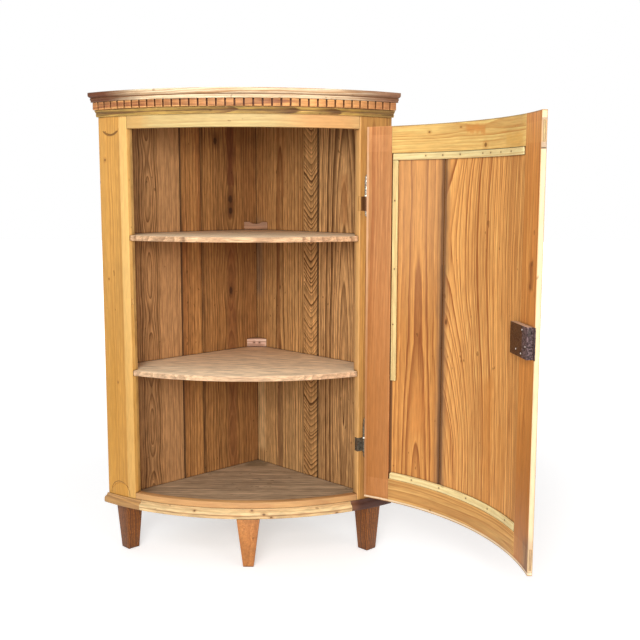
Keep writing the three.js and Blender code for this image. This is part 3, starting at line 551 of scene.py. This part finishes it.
base_centre = pine(
    "pale base moulding", BOW, (0.80, 0.54, 0.26), (0.44, 0.20, 0.07), sideways=True, heart=0.13, depth=0.02,
    spacing=0.006, seed=8.1, contrast=0.75, marks=0.11, blotch=0.26,
    # Painted highlights on the two rounded parts of the moulding, and a painted shade line in the crease between
    # them.
    patches=[(-FAR, FAR, 0.1335, 0.1410, 0.003, 0.002, (0.88, 0.66, 0.34), 0.6),
             (-FAR, FAR, 0.1225, 0.1290, 0.003, 0.002, (0.88, 0.62, 0.32), 0.5),
             (-FAR, FAR, 0.1302, 0.1324, 0.0012, 0.001, (0.26, 0.12, 0.05), 0.65)],
    knots=((0.0204, 0.143, 0.004, 0.003), (0.0496, 0.1347, 0.005, 0.003), (0.0667, 0.127, 0.004, 0.003),
           (0.2294, 0.1255, 0.005, 0.003), (-0.12, 0.139, 0.003, 0.002)))
base_left = pine(
    "weathered base end", BOW, (0.54, 0.29, 0.10), (0.24, 0.12, 0.05), sideways=True, heart=0.13, depth=0.02,
    spacing=0.006, seed=8.9, contrast=0.7, marks=0.22,
    bands=[(0, -0.6, -0.39, 0.03, (0.34, 0.18, 0.075), 0.6)])
base_right = pine(
    "mahogany base end", BOW, (0.085, 0.030, 0.017), (0.03, 0.009, 0.006), sideways=True, heart=0.13, depth=0.02,
    spacing=0.006, seed=9.4, contrast=0.6, gloss=0.3,
    bands=[(0, 0.2, 0.285, 0.03, (0.24, 0.10, 0.045), 0.6)])
floor_wood = pine(
    "worn floor board", LEVEL, (0.63, 0.47, 0.30), (0.18, 0.12, 0.075), heart=-0.22, depth=0.02, rise=0.0,
    spacing=0.012, seed=10.2, contrast=0.8, light_share=0.9, gloss=0.5, marks=0.18, blotch=0.25,
    patches=[(-0.03, FAR, -0.03, 0.03, 0.02, 0.03, (0.16, 0.12, 0.06), 0.6)])
# Painted light: the shelf is paler on what looks up and on the lower shelf, as if lit from the front and above.
shelf_wood = pine(
    "worn shelf", LEVEL, (0.80, 0.49, 0.27), (0.34, 0.18, 0.09), heart=-0.2, depth=0.02, rise=0.0, spacing=0.010,
    seed=11.6, contrast=1.0, gloss=0.48, marks=0.14, faces=((0.98, 0.79, 0.54), 0.8), fine=0.8, wear=0.25,
    blotch=0.30, bands=[(1, 0.44, 0.48, 0.01, (0.98, 0.74, 0.50), 0.2)])
top_wood = pine(
    "bare top board", LEVEL, (0.42, 0.25, 0.13), (0.22, 0.11, 0.05), heart=-0.2, depth=0.02, spacing=0.010,
    seed=12.3, contrast=0.6, gloss=0.6, marks=0.09)
block_wood = pine(
    "brown corner block", LEVEL, (0.42, 0.215, 0.11), (0.20, 0.08, 0.035), heart=0.0, depth=0.01, spacing=0.005,
    seed=13.3, contrast=0.5)
block_pink = pine(
    "pink corner block", WALL, (0.80, 0.50, 0.36), (0.30, 0.13, 0.07), sideways=True, heart=0.48, depth=0.02,
    spacing=0.006, seed=13.9, contrast=0.6, marks=0.16,
    knots=((-0.0074, 0.4870, 0.0030, 0.0030), (0.0078, 0.4870, 0.0030, 0.0030)))

WALL_DARK = (0.12, 0.045, 0.013)


def board_joint(start, share):
    """The dark line where a board ends and the next one begins."""
    return start, FAR, -FAR, FAR, 0.0012, 0.0006, (0.05, 0.022, 0.010), share


wall_looks = {
    "wall_left_1": dict(
        pale=(0.48, 0.226, 0.070), heart=0.095, depth=0.010, rise=0.004, swell=0.006, swell_at=0.885,
        swell_length=0.22, wander=0.02, seed=20.0, spacing=0.009, contrast=1.1,
        patches=[(0.081, 0.106, 0.93, FAR, 0.012, 0.012, (0.15, 0.045, 0.015), 0.85),
                 (0.084, 0.102, 0.84, 0.93, 0.012, 0.02, (0.14, 0.045, 0.015), 0.7),
                 (0.078, 0.108, 0.10, 0.80, 0.016, 0.02, (0.22, 0.075, 0.025), 0.55),
                 # Painted shade: darker next to the back corner.
                 (0.0, 0.05, -FAR, FAR, 0.03, 0.02, (0.28, 0.115, 0.036), 0.4),
                 board_joint(0.1944, 0.8)],
        knots=((0.1454, 1.0496, 0.007, 0.012), (0.0945, 0.893, 0.009, 0.014), (0.094, 0.862, 0.008, 0.012),
               (0.096, 0.64, 0.007, 0.014))),
    "wall_left_2": dict(
        pale=(0.54, 0.255, 0.078), heart=0.10, depth=0.03, rise=0.0, wander=0.02, seed=21.0, spacing=0.009,
        contrast=0.9, streak=(0.36, 0.14, 0.04), streak_share=0.9, patches=[board_joint(0.2602, 0.85)]),
    "wall_left_3": dict(
        pale=(0.54, 0.275, 0.105), heart=0.366, depth=0.0074, rise=0.0, swell=0.0068, swell_at=0.896,
        swell_length=0.2, wander=0.010, spacing=0.0070, seed=22.0, contrast=1.2,
        patches=[(0.25, 0.330, -FAR, FAR, 0.02, 0.02, (0.52, 0.27, 0.11), 0.55)]),
    "wall_right_1": dict(
        pale=(0.74, 0.40, 0.145), heart=0.10, depth=0.016, rise=0.012, wander=0.03, seed=23.0, spacing=0.010,
        contrast=1.1,
        patches=[(0.086, 0.10, -FAR, FAR, 0.008, 0.012, (0.22, 0.08, 0.025), 0.7),
                 (0.108, 0.118, 0.9, FAR, 0.008, 0.012, (0.24, 0.085, 0.03), 0.6),
                 # Painted shade: darker next to the back corner.
                 (0.0, 0.055, 0.465, FAR, 0.03, 0.02, (0.32, 0.14, 0.045), 0.4),
                 (0.004, 0.032, 0.17, 0.47, 0.02, 0.02, (0.92, 0.62, 0.30), 0.45),
                 (-0.02, 0.022, 0.62, 0.84, 0.04, 0.02, (0.20, 0.145, 0.105), 0.5),
                 # Painted shade towards the top and painted light towards the bottom.
                 (-FAR, FAR, 0.80, FAR, 0.02, 0.0, (0.42, 0.17, 0.045), 0.25),
                 (-FAR, FAR, -FAR, 0.465, 0.02, 0.0, (0.92, 0.62, 0.30), 0.11),
                 board_joint(0.1954, 0.8)]),
    "wall_right_2": dict(
        pale=(0.76, 0.41, 0.150), heart=0.224, depth=0.03, rise=0.75, wander=0.04, seed=24.0, chevron=-0.85,
        spacing=0.0105, contrast=1.15, patches=[board_joint(0.2462, 0.8)]),
    "wall_right_3": dict(
        pale=(0.74, 0.40, 0.155), heart=0.347, depth=-0.0226, rise=0.06, wander=0.010, seed=25.0,
        spacing=0.0085, contrast=1.2, patches=[(0.336, 0.360, 0.83, 0.96, 0.02, 0.01, (0.34, 0.135, 0.04), 0.6)]),
}
walls = {}
for node_name, look in wall_looks.items():
    side_turn = LEFT_TURN if "left" in node_name else RIGHT_TURN
    usual = dict(dark=WALL_DARK, turn=side_turn, marks=0.14, gloss=0.5, fine=0.6, blotch=0.24, wear=0)
    walls[node_name] = pine("wall board " + node_name.removeprefix("wall_"), WALL, **usual, **look)

foot_side = pine(
    "brown foot", LEVEL, (0.29, 0.090, 0.011), (0.12, 0.04, 0.012), sideways=True, depth=0.05,
    spacing=0.005, seed=14.0, contrast=1.2, fine=0.5, gloss=0.35, blotch=0.16)
foot_front = pine(
    "orange front foot", LEVEL, (0.56, 0.225, 0.062), (0.26, 0.08, 0.025), sideways=True, depth=0.05,
    spacing=0.007, seed=15.0, contrast=0.8, gloss=0.35, blotch=0.14)

# Finishes of the door, read with the door swung shut
SHUT = -DOOR_OPEN
DOOR_EDGE = -DOOR_ANGLE * BOW_RADIUS
EDGE_BACK = DOOR_EDGE + 0.0014
SEAM = 0.0844
PALE_ARRIS = (0.90, 0.70, 0.46)
CREAM = (0.88, 0.66, 0.40)
BOTTOM_ARRIS = (-FAR, FAR, 0.1602, 0.1645, 0.001, 0.001, PALE_ARRIS, 0.85)
BOTTOM_DARK = (-FAR, FAR, -FAR, 0.1598, 0.001, 0.001, (0.16, 0.08, 0.03), 0.85)
TENON = (-FAR, EDGE_BACK, -FAR, FAR, 0.001, 0.0, (0.36, 0.24, 0.15), 0.85)
TOP_DARK = (-FAR, FAR, 1.0646, FAR, 0.001, 0.001, (0.22, 0.11, 0.05), 0.75)
hinge_stile = pine(
    "salmon hinge stile", BOW, (0.60, 0.265, 0.092), (0.38, 0.13, 0.04), turn=SHUT, heart=0.2, depth=0.05,
    spacing=0.008, seed=30.0, contrast=0.7, marks=0.08,
    patches=[(-DOOR_EDGE - 0.0055, FAR, -FAR, FAR, 0.002, 0.003, (0.84, 0.52, 0.30), 0.6),
             (0.19, FAR, -FAR, 0.65, 0.5, 0.02, (0.40, 0.14, 0.024), 0.9), BOTTOM_ARRIS, BOTTOM_DARK])
lock_stile = pine(
    "orange lock stile", BOW, (0.82, 0.34, 0.080), (0.40, 0.12, 0.026), turn=SHUT, heart=-0.245, depth=0.014,
    rise=0.01, spacing=0.008, wander=0.04, seed=31.0, contrast=0.75,
    patches=[(-0.272, -0.253, 0.725, 0.782, 0.012, 0.03, (0.26, 0.085, 0.025), 0.8),
             (-FAR, FAR, -FAR, 0.45, 0.35, 0.02, (0.46, 0.16, 0.025), 0.85),
             (-FAR, -0.266, -FAR, 0.225, 0.04, 0.03, (0.15, 0.075, 0.04), 0.75),
             (-FAR, EDGE_BACK, -FAR, FAR, 0.001, 0.0, CREAM, 0.9),
             (-FAR, EDGE_BACK, 0.9975, 1.052, 0.002, 0.002, (0.34, 0.24, 0.17), 0.75),
             (-FAR, EDGE_BACK, 0.9945, 0.9975, 0.001, 0.001, (0.06, 0.035, 0.02), 0.9),
             (-FAR, EDGE_BACK, -FAR, 0.24, 0.03, 0.03, (0.36, 0.22, 0.13), 0.75),
             BOTTOM_ARRIS, BOTTOM_DARK, TOP_DARK],
    knots=((-0.2657, 0.7765, 0.005, 0.007), (-0.2582, 0.7311, 0.004, 0.006)))
door_rail_top = pine(
    "yellow top rail", BOW, (0.84, 0.55, 0.18), (0.50, 0.21, 0.045), turn=SHUT, sideways=True, heart=1.06,
    depth=0.03, rise=0.02, spacing=0.0062, wander=0.09, seed=32.0, contrast=0.8,
    patches=[(-0.047, 0.014, 1.041, 1.059, 0.012, 0.03, (0.60, 0.25, 0.055), 0.8),
             (-0.20, -0.13, 1.008, 1.03, 0.014, 0.03, (0.70, 0.38, 0.09), 0.6), TOP_DARK, TENON],
    knots=((0.1279, 1.0486, 0.004, 0.003), (-0.0502, 1.0138, 0.006, 0.006), (0.033, 1.0549, 0.003, 0.0022)))
door_rail_low = pine(
    "ochre bottom rail", BOW, (0.72, 0.40, 0.125), (0.44, 0.18, 0.045), turn=SHUT, sideways=True, heart=0.18,
    depth=0.01, rise=0.01, spacing=0.009, seed=33.0, contrast=1.1,
    patches=[BOTTOM_ARRIS, BOTTOM_DARK, TENON])
SEAM_STAIN = [(SEAM - 0.016, SEAM + 0.015, -FAR, FAR, 0.016, 0.012, (0.34, 0.165, 0.065), 0.75),
              (SEAM - 0.0085, SEAM + 0.0075, -FAR, FAR, 0.005, 0.005, (0.15, 0.066, 0.026), 0.8),
              (SEAM - 0.0050, SEAM + 0.0045, -FAR, 0.75, 0.004, 0.005, (0.08, 0.034, 0.013), 0.5)]
panel_hinge = pine(
    "orange panel by the hinges", BOW, (0.73, 0.325, 0.082), (0.28, 0.085, 0.018), turn=SHUT, heart=0.155,
    depth=-0.004, rise=0.07, top=0.56, spacing=0.0115, wander=0.045, seed=34.0, contrast=1.15, wear=0,
    inner=0.0065,
    patches=[(0.2262, FAR, -FAR, 0.565, 0.0012, 0.0006, (0.10, 0.04, 0.015), 0.85),
             (-FAR, FAR, 0.72, FAR, 0.35, 0.05, (0.66, 0.36, 0.17), 0.35),
             (0.13, 0.17, 0.33, 0.46, 0.05, 0.05, (0.60, 0.22, 0.05), 0.5)] + SEAM_STAIN)
panel_lock = pine(
    "orange panel by the lock", BOW, (0.88, 0.43, 0.125), (0.32, 0.10, 0.022), turn=SHUT, heart=0.090,
    depth=0.062, rise=0.0, swell=0.040, swell_at=0.15, swell_length=1.3, spacing=0.0065, wander=0.05, seed=35.0,
    contrast=1.15, wear=0, inner=0.0065,
    patches=[(-0.095, -0.060, 0.17, 0.52, 0.03, 0.04, (0.58, 0.23, 0.05), 0.6),
             (-0.145, -0.115, 0.17, 0.42, 0.02, 0.03, (0.60, 0.25, 0.06), 0.5)] + SEAM_STAIN,
    knots=((0.072, 0.62, 0.004, 0.008),))
top_bead_nails = [(s, 0.9962) for s in (0.1378, 0.0876, 0.0343, -0.0405, -0.0683, -0.1057, -0.1466)]
low_bead_nails = [(s, 0.2265) for s in (0.165, 0.08, -0.01, -0.09, -0.165)]
bead_wood = pine(
    "pale bead", BOW, (0.90, 0.74, 0.36), (0.60, 0.34, 0.12), turn=SHUT, sideways=True, heart=0.9, depth=0.05,
    spacing=0.007, seed=36.0, contrast=0.6, blotch=0.12, nails=top_bead_nails + low_bead_nails)
bead_upright = pine(
    "pale upright bead", BOW, (0.90, 0.68, 0.30), (0.60, 0.34, 0.12), turn=SHUT, heart=0.3, depth=0.05,
    spacing=0.007, seed=37.0, contrast=0.6, blotch=0.12,
    nails=((0.2234, 0.8937), (0.2224, 0.7328), (0.2247, 0.5998)))

iron = metal("dull olive iron", (0.20, 0.17, 0.12), (0.05, 0.045, 0.035), 0.6, rust=(0.16, 0.075, 0.03))
stained = pine(
    "stained leaf", BOW, (0.66, 0.35, 0.11), (0.30, 0.12, 0.035), heart=0.2, depth=0.03, seed=40.0,
    contrast=0.7, wear=0,
    patches=[(0.2960, FAR, -FAR, FAR, 0.003, 0.001, (0.10, 0.034, 0.008), 0.95)])
knuckle = metal("rubbed knuckle", (0.62, 0.58, 0.50), (0.10, 0.08, 0.06), 0.7, (0.25, 0.5), scale=420.0,
                rust=(0.14, 0.07, 0.03))
steel = metal("dull bolt steel", (0.13, 0.09, 0.08), (0.06, 0.045, 0.04), 0.6, (0.35, 0.55))
# The rivets' pale metal is partly rubbed and partly a painted highlight.
rivet_metal = metal("rubbed rivet with painted sheen", (0.90, 0.84, 0.78), (0.46, 0.37, 0.32), 0.2, (0.3, 0.5), scale=600.0)
brass = metal("bright washer", (0.92, 0.90, 0.82), (0.70, 0.64, 0.50), 0.7, (0.2, 0.4))


# Where the lock folds round the edge, and the places of its rivets: length round the bow and height
LOCK_SPLIT = -0.262
LOCK_RIVETS = ((-0.262, 0.648), (-0.2285, 0.605), (-0.2812, 0.617), (-0.257, 0.600))


def lock_finish(name):
    """Brown lacquered iron, rough and purple towards the free edge, darker round the rivets, with a painted
    highlight on what faces up.
    """
    material, tree, shader = start_material(name)
    place = use(tree, BOW, Turn=SHUT)["Place"]
    where = object_place(tree)
    fine = noise(tree, where, 260.0, 4.0, 0.7)
    broad = noise(tree, where, 60.0, 2.0)
    smooth = blend(tree, fade(tree, broad, 0.4, 0.6), (0.10, 0.042, 0.016, 1), (0.075, 0.028, 0.011, 1))
    rough = blend(tree, fade(tree, fine, 0.42, 0.60), (0.022, 0.010, 0.009, 1), (0.20, 0.13, 0.13, 1))
    side = use(tree, PATCH, Place=place, Left=-FAR, Right=LOCK_SPLIT, Soft=0.003, Waver=0.003)["Mask"]
    colour = blend(tree, side, smooth, rough)
    # Painted highlight: the faces that look up are paler.
    facing_up = split(tree, surface_normal(tree))[2]
    colour = paint(tree, colour, (0.66, 0.47, 0.33), fade(tree, facing_up, 0.3, 0.8, 0.0, 0.85))
    for across, up in LOCK_RIVETS:
        rivet = use(tree, KNOT, Place=place, Across=across, Up=up, Width=0.0036, Tall=0.0026)
        colour = paint(tree, colour, (0.03, 0.014, 0.008), rivet["Halo"], 0.6)
    bump = put(tree, "ShaderNodeBump", {"Height": fine, "Strength": 0.5, "Distance": 0.0008})
    shader.inputs["Metallic"].default_value = 0.3
    return finish_material(material, shader, colour, fade(tree, fine, 0.3, 0.7, 0.4, 0.7), bump)


lock_iron = lock_finish("brown lock iron")

LOOKS = {
    "stile_left": stile_left, "stile_right": stile_right, "frieze_rail": frieze, "bottom_rail": rail,
    "cornice_crown": crown, "cornice_dentils": dentils, "cornice_bed": bed,
    "base_moulding_centre": base_centre, "base_moulding_left": base_left, "base_moulding_right": base_right,
    "floor_board": floor_wood, "shelf_lower": shelf_wood, "shelf_upper": shelf_wood, "top_board": top_wood,
    "corner_block_upper": block_wood, "corner_block_lower": block_pink,
    "foot_left": foot_side, "foot_right": foot_side, "foot_rear": foot_side, "foot_front": foot_front,
    "door_stile_hinge": hinge_stile, "door_stile_lock": lock_stile, "door_rail_top": door_rail_top,
    "door_rail_bottom": door_rail_low, "door_panel_hinge": panel_hinge, "door_panel_lock": panel_lock,
    "door_bead_top": bead_wood, "door_bead_bottom": bead_wood, "door_bead_hinge": bead_upright,
    "lock_case": lock_iron, "lock_forend": lock_iron, "lock_selvedge": lock_iron, "lock_bolt": steel,
    "hinge_upper_frame_leaf": stained, "hinge_upper_door_leaf": knuckle, "hinge_upper_pin": knuckle,
    "hinge_upper_washer": brass, "hinge_lower_frame_leaf": iron, "hinge_lower_door_leaf": iron,
    "hinge_lower_pin": iron, "hinge_lower_washer": brass, **walls,
}

for node_name, node_object in frame["nodes"].items():
    node_object.data.materials.clear()
    node_object.data.materials.append(LOOKS[node_name])


# Softened copies of the sawn pieces: worn, rounded arrises
SAME_POINT = 0.00002
FLAT_ANGLE = math.radians(0.5)
ARRIS_ANGLE = math.radians(38)
SMOOTH_ANGLE = math.radians(40)
BODY_OF = {node: body for body, nodes in frame["record"]["behaviour"]["bodies"].items() for node in nodes}


def choose(piece):
    bpy.ops.object.select_all(action="DESELECT")
    piece.select_set(True)
    bpy.context.view_layer.objects.active = piece


def soften(node_name, width):
    """Show a copy in a sawn piece's place, its small flats joined and its arrises rounded."""
    source = frame["nodes"][node_name]
    piece = source.copy()
    piece.data = source.data.copy()
    piece.parent = None
    piece.matrix_world = source.matrix_world
    piece.name = node_name + "_worn"
    piece.data.name = piece.name
    bpy.context.collection.objects.link(piece)
    choose(piece)
    bpy.ops.object.transform_apply(location=True, rotation=True, scale=True)
    bpy.ops.object.mode_set(mode="EDIT")
    bpy.ops.mesh.select_all(action="SELECT")
    bpy.ops.mesh.remove_doubles(threshold=SAME_POINT)
    bpy.ops.mesh.dissolve_limited(angle_limit=FLAT_ANGLE)
    bpy.ops.object.mode_set(mode="OBJECT")
    edge = piece.modifiers.new("worn arris", "BEVEL")
    edge.width = width
    edge.segments = 2
    edge.limit_method = "ANGLE"
    edge.angle_limit = ARRIS_ANGLE
    edge.use_clamp_overlap = True
    bpy.ops.object.modifier_apply(modifier=edge.name)
    bpy.ops.object.shade_smooth_by_angle(angle=SMOOTH_ANGLE)
    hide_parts(node_name)
    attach(piece, BODY_OF[node_name])


SOFT = {
    "stile_left": 0.0012, "stile_right": 0.0012, "frieze_rail": 0.001, "bottom_rail": 0.0012,
    "shelf_lower": 0.0016, "shelf_upper": 0.0016, "foot_left": 0.0014, "foot_right": 0.0014,
    "foot_rear": 0.0014, "foot_front": 0.0014, "corner_block_upper": 0.001, "corner_block_lower": 0.001,
    "door_stile_hinge": 0.001, "door_stile_lock": 0.001, "door_rail_top": 0.001, "door_rail_bottom": 0.001,
    "door_bead_top": 0.0006, "door_bead_bottom": 0.0006, "door_bead_hinge": 0.0006,
    "cornice_dentils": 0.0008, "cornice_crown": 0.0006, "base_moulding_centre": 0.0006,
    "base_moulding_left": 0.0006, "base_moulding_right": 0.0006, "lock_case": 0.0008,
}
for node_name, width in SOFT.items():
    soften(node_name, width)


RIVET_RADIUS = 0.0018
RIVET_RISE_SHARE = 0.5
RIVET_SUNK = 0.0001
RIVET_SMOOTH = math.radians(50)
AIM_FROM = BOW_RADIUS - 0.08


def order_faces(mesh):
    """List the faces in one order, each from its lowest corner, because a cut lists them anyhow."""
    points = [corner.co.copy() for corner in mesh.vertices]
    faces = []
    for face in mesh.polygons:
        corners = list(face.vertices)
        first = corners.index(min(corners))
        faces.append(corners[first:] + corners[:first])
    mesh.clear_geometry()
    mesh.from_pydata(points, [], sorted(faces))
    mesh.update()


def raise_rivets():
    """Low domed rivet heads on the lock, standing where the lock's finish darkens round them.

    Each place is found by aiming outwards from inside the bow, with the door swung to the photo's pose."""
    bpy.context.view_layer.update()
    case = bpy.data.objects["lock_case_worn"]
    pin = Vector(HINGE_PIN)
    swing = Matrix.Translation(pin) @ Matrix.Rotation(DOOR_OPEN, 4, "Z") @ Matrix.Translation(-pin)
    heads = []
    for across, up in LOCK_RIVETS:
        angle = across / BOW_RADIUS
        aim = Vector((math.sin(angle), -math.cos(angle), 0))
        start = Vector(BOW_CENTRE) + aim * AIM_FROM + Vector((0, 0, up))
        place, facing = case.ray_cast(swing @ start, swing.to_3x3() @ aim)[1:3]
        tilt = facing.to_track_quat("Z", "Y").to_euler()
        bpy.ops.object.select_all(action="DESELECT")
        bpy.ops.mesh.primitive_uv_sphere_add(segments=20, ring_count=12, radius=RIVET_RADIUS, location=place,
                                             rotation=tilt)
        head = bpy.context.object
        head.scale = (1, 1, RIVET_RISE_SHARE)
        bpy.ops.object.transform_apply(location=True, rotation=True, scale=True)
        bpy.ops.object.mode_set(mode="EDIT")
        bpy.ops.mesh.select_all(action="SELECT")
        bpy.ops.mesh.bisect(plane_co=place - facing * RIVET_SUNK, plane_no=facing, use_fill=True,
                            clear_inner=True)
        bpy.ops.object.mode_set(mode="OBJECT")
        heads.append(head)
    for head in heads:
        head.select_set(True)
    bpy.context.view_layer.objects.active = heads[0]
    bpy.ops.object.join()
    piece = bpy.context.object
    piece.name = piece.data.name = "lock_rivets"
    order_faces(piece.data)
    bpy.ops.object.shade_smooth_by_angle(angle=RIVET_SMOOTH)
    piece.data.materials.append(rivet_metal)
    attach(piece, "door")


raise_rivets()

# Floor, lights and sky
FLOOR_SIZE = 30
FLOOR_DROP = 0.0005
GLOW_NEAR, GLOW_FAR = 0.5, 3.0
GLOW_LEAST = 0.40
ROOM_LIGHT = 0.45


def make_stage():
    """A pale floor and a white room. Both look brighter to the camera than the light that they give."""
    bpy.ops.mesh.primitive_plane_add(size=FLOOR_SIZE, location=(0, 0, -FLOOR_DROP))
    ground = bpy.context.object
    ground.name = "studio_floor"
    material, tree, shader = start_material("pale floor")
    shader.inputs["Base Color"].default_value = (0.9, 0.9, 0.9, 1)
    shader.inputs["Roughness"].default_value = 0.9
    path = tree.nodes.new("ShaderNodeLightPath").outputs
    seen = calc(tree, "MAXIMUM", path["Is Camera Ray"], path["Is Glossy Ray"])
    shader.inputs["Emission Color"].default_value = (1, 1, 1, 1)
    away = put(tree, "ShaderNodeVectorMath", {0: object_place(tree)}, operation="LENGTH").outputs["Value"]
    glow = fade(tree, away, GLOW_NEAR, GLOW_FAR, GLOW_LEAST, 1.0)
    tree.links.new(times(tree, seen, glow), shader.inputs["Emission Strength"])
    ground.data.materials.append(material)
    world = bpy.data.worlds.new("soft room")
    bpy.context.scene.world = world
    world.use_nodes = True
    sky = world.node_tree
    sky.nodes.clear()
    path = sky.nodes.new("ShaderNodeLightPath").outputs
    seen = calc(sky, "MAXIMUM", calc(sky, "MAXIMUM", path["Is Camera Ray"], path["Is Glossy Ray"]),
                path["Is Transmission Ray"])
    strength = calc(sky, "MULTIPLY_ADD", seen, 1.0 - ROOM_LIGHT, ROOM_LIGHT)
    back = put(sky, "ShaderNodeBackground", {"Color": (1, 1, 1, 1), "Strength": strength})
    out = sky.nodes.new("ShaderNodeOutputWorld")
    sky.links.new(back.outputs[0], out.inputs[0])


LAMP_TARGET = (0.1, -0.3, 0.6)


def add_lamp(name, place, size, power):
    data = bpy.data.lights.new(name, "AREA")
    data.shape = "DISK"
    data.size = size
    data.energy = power
    lamp = bpy.data.objects.new(name, data)
    bpy.context.collection.objects.link(lamp)
    lamp.location = place
    lamp.rotation_euler = (Vector(LAMP_TARGET) - Vector(place)).to_track_quat("-Z", "Y").to_euler()


make_stage()
add_lamp("front lamp", (0.0, -4.4, 1.7), 1.6, 106)
add_lamp("high lamp", (-0.8, -3.8, 3.2), 1.6, 38)
add_lamp("fill lamp", (2.6, -3.2, 1.2), 2.0, 20)
bpy.context.scene.view_settings.view_transform = "Standard"
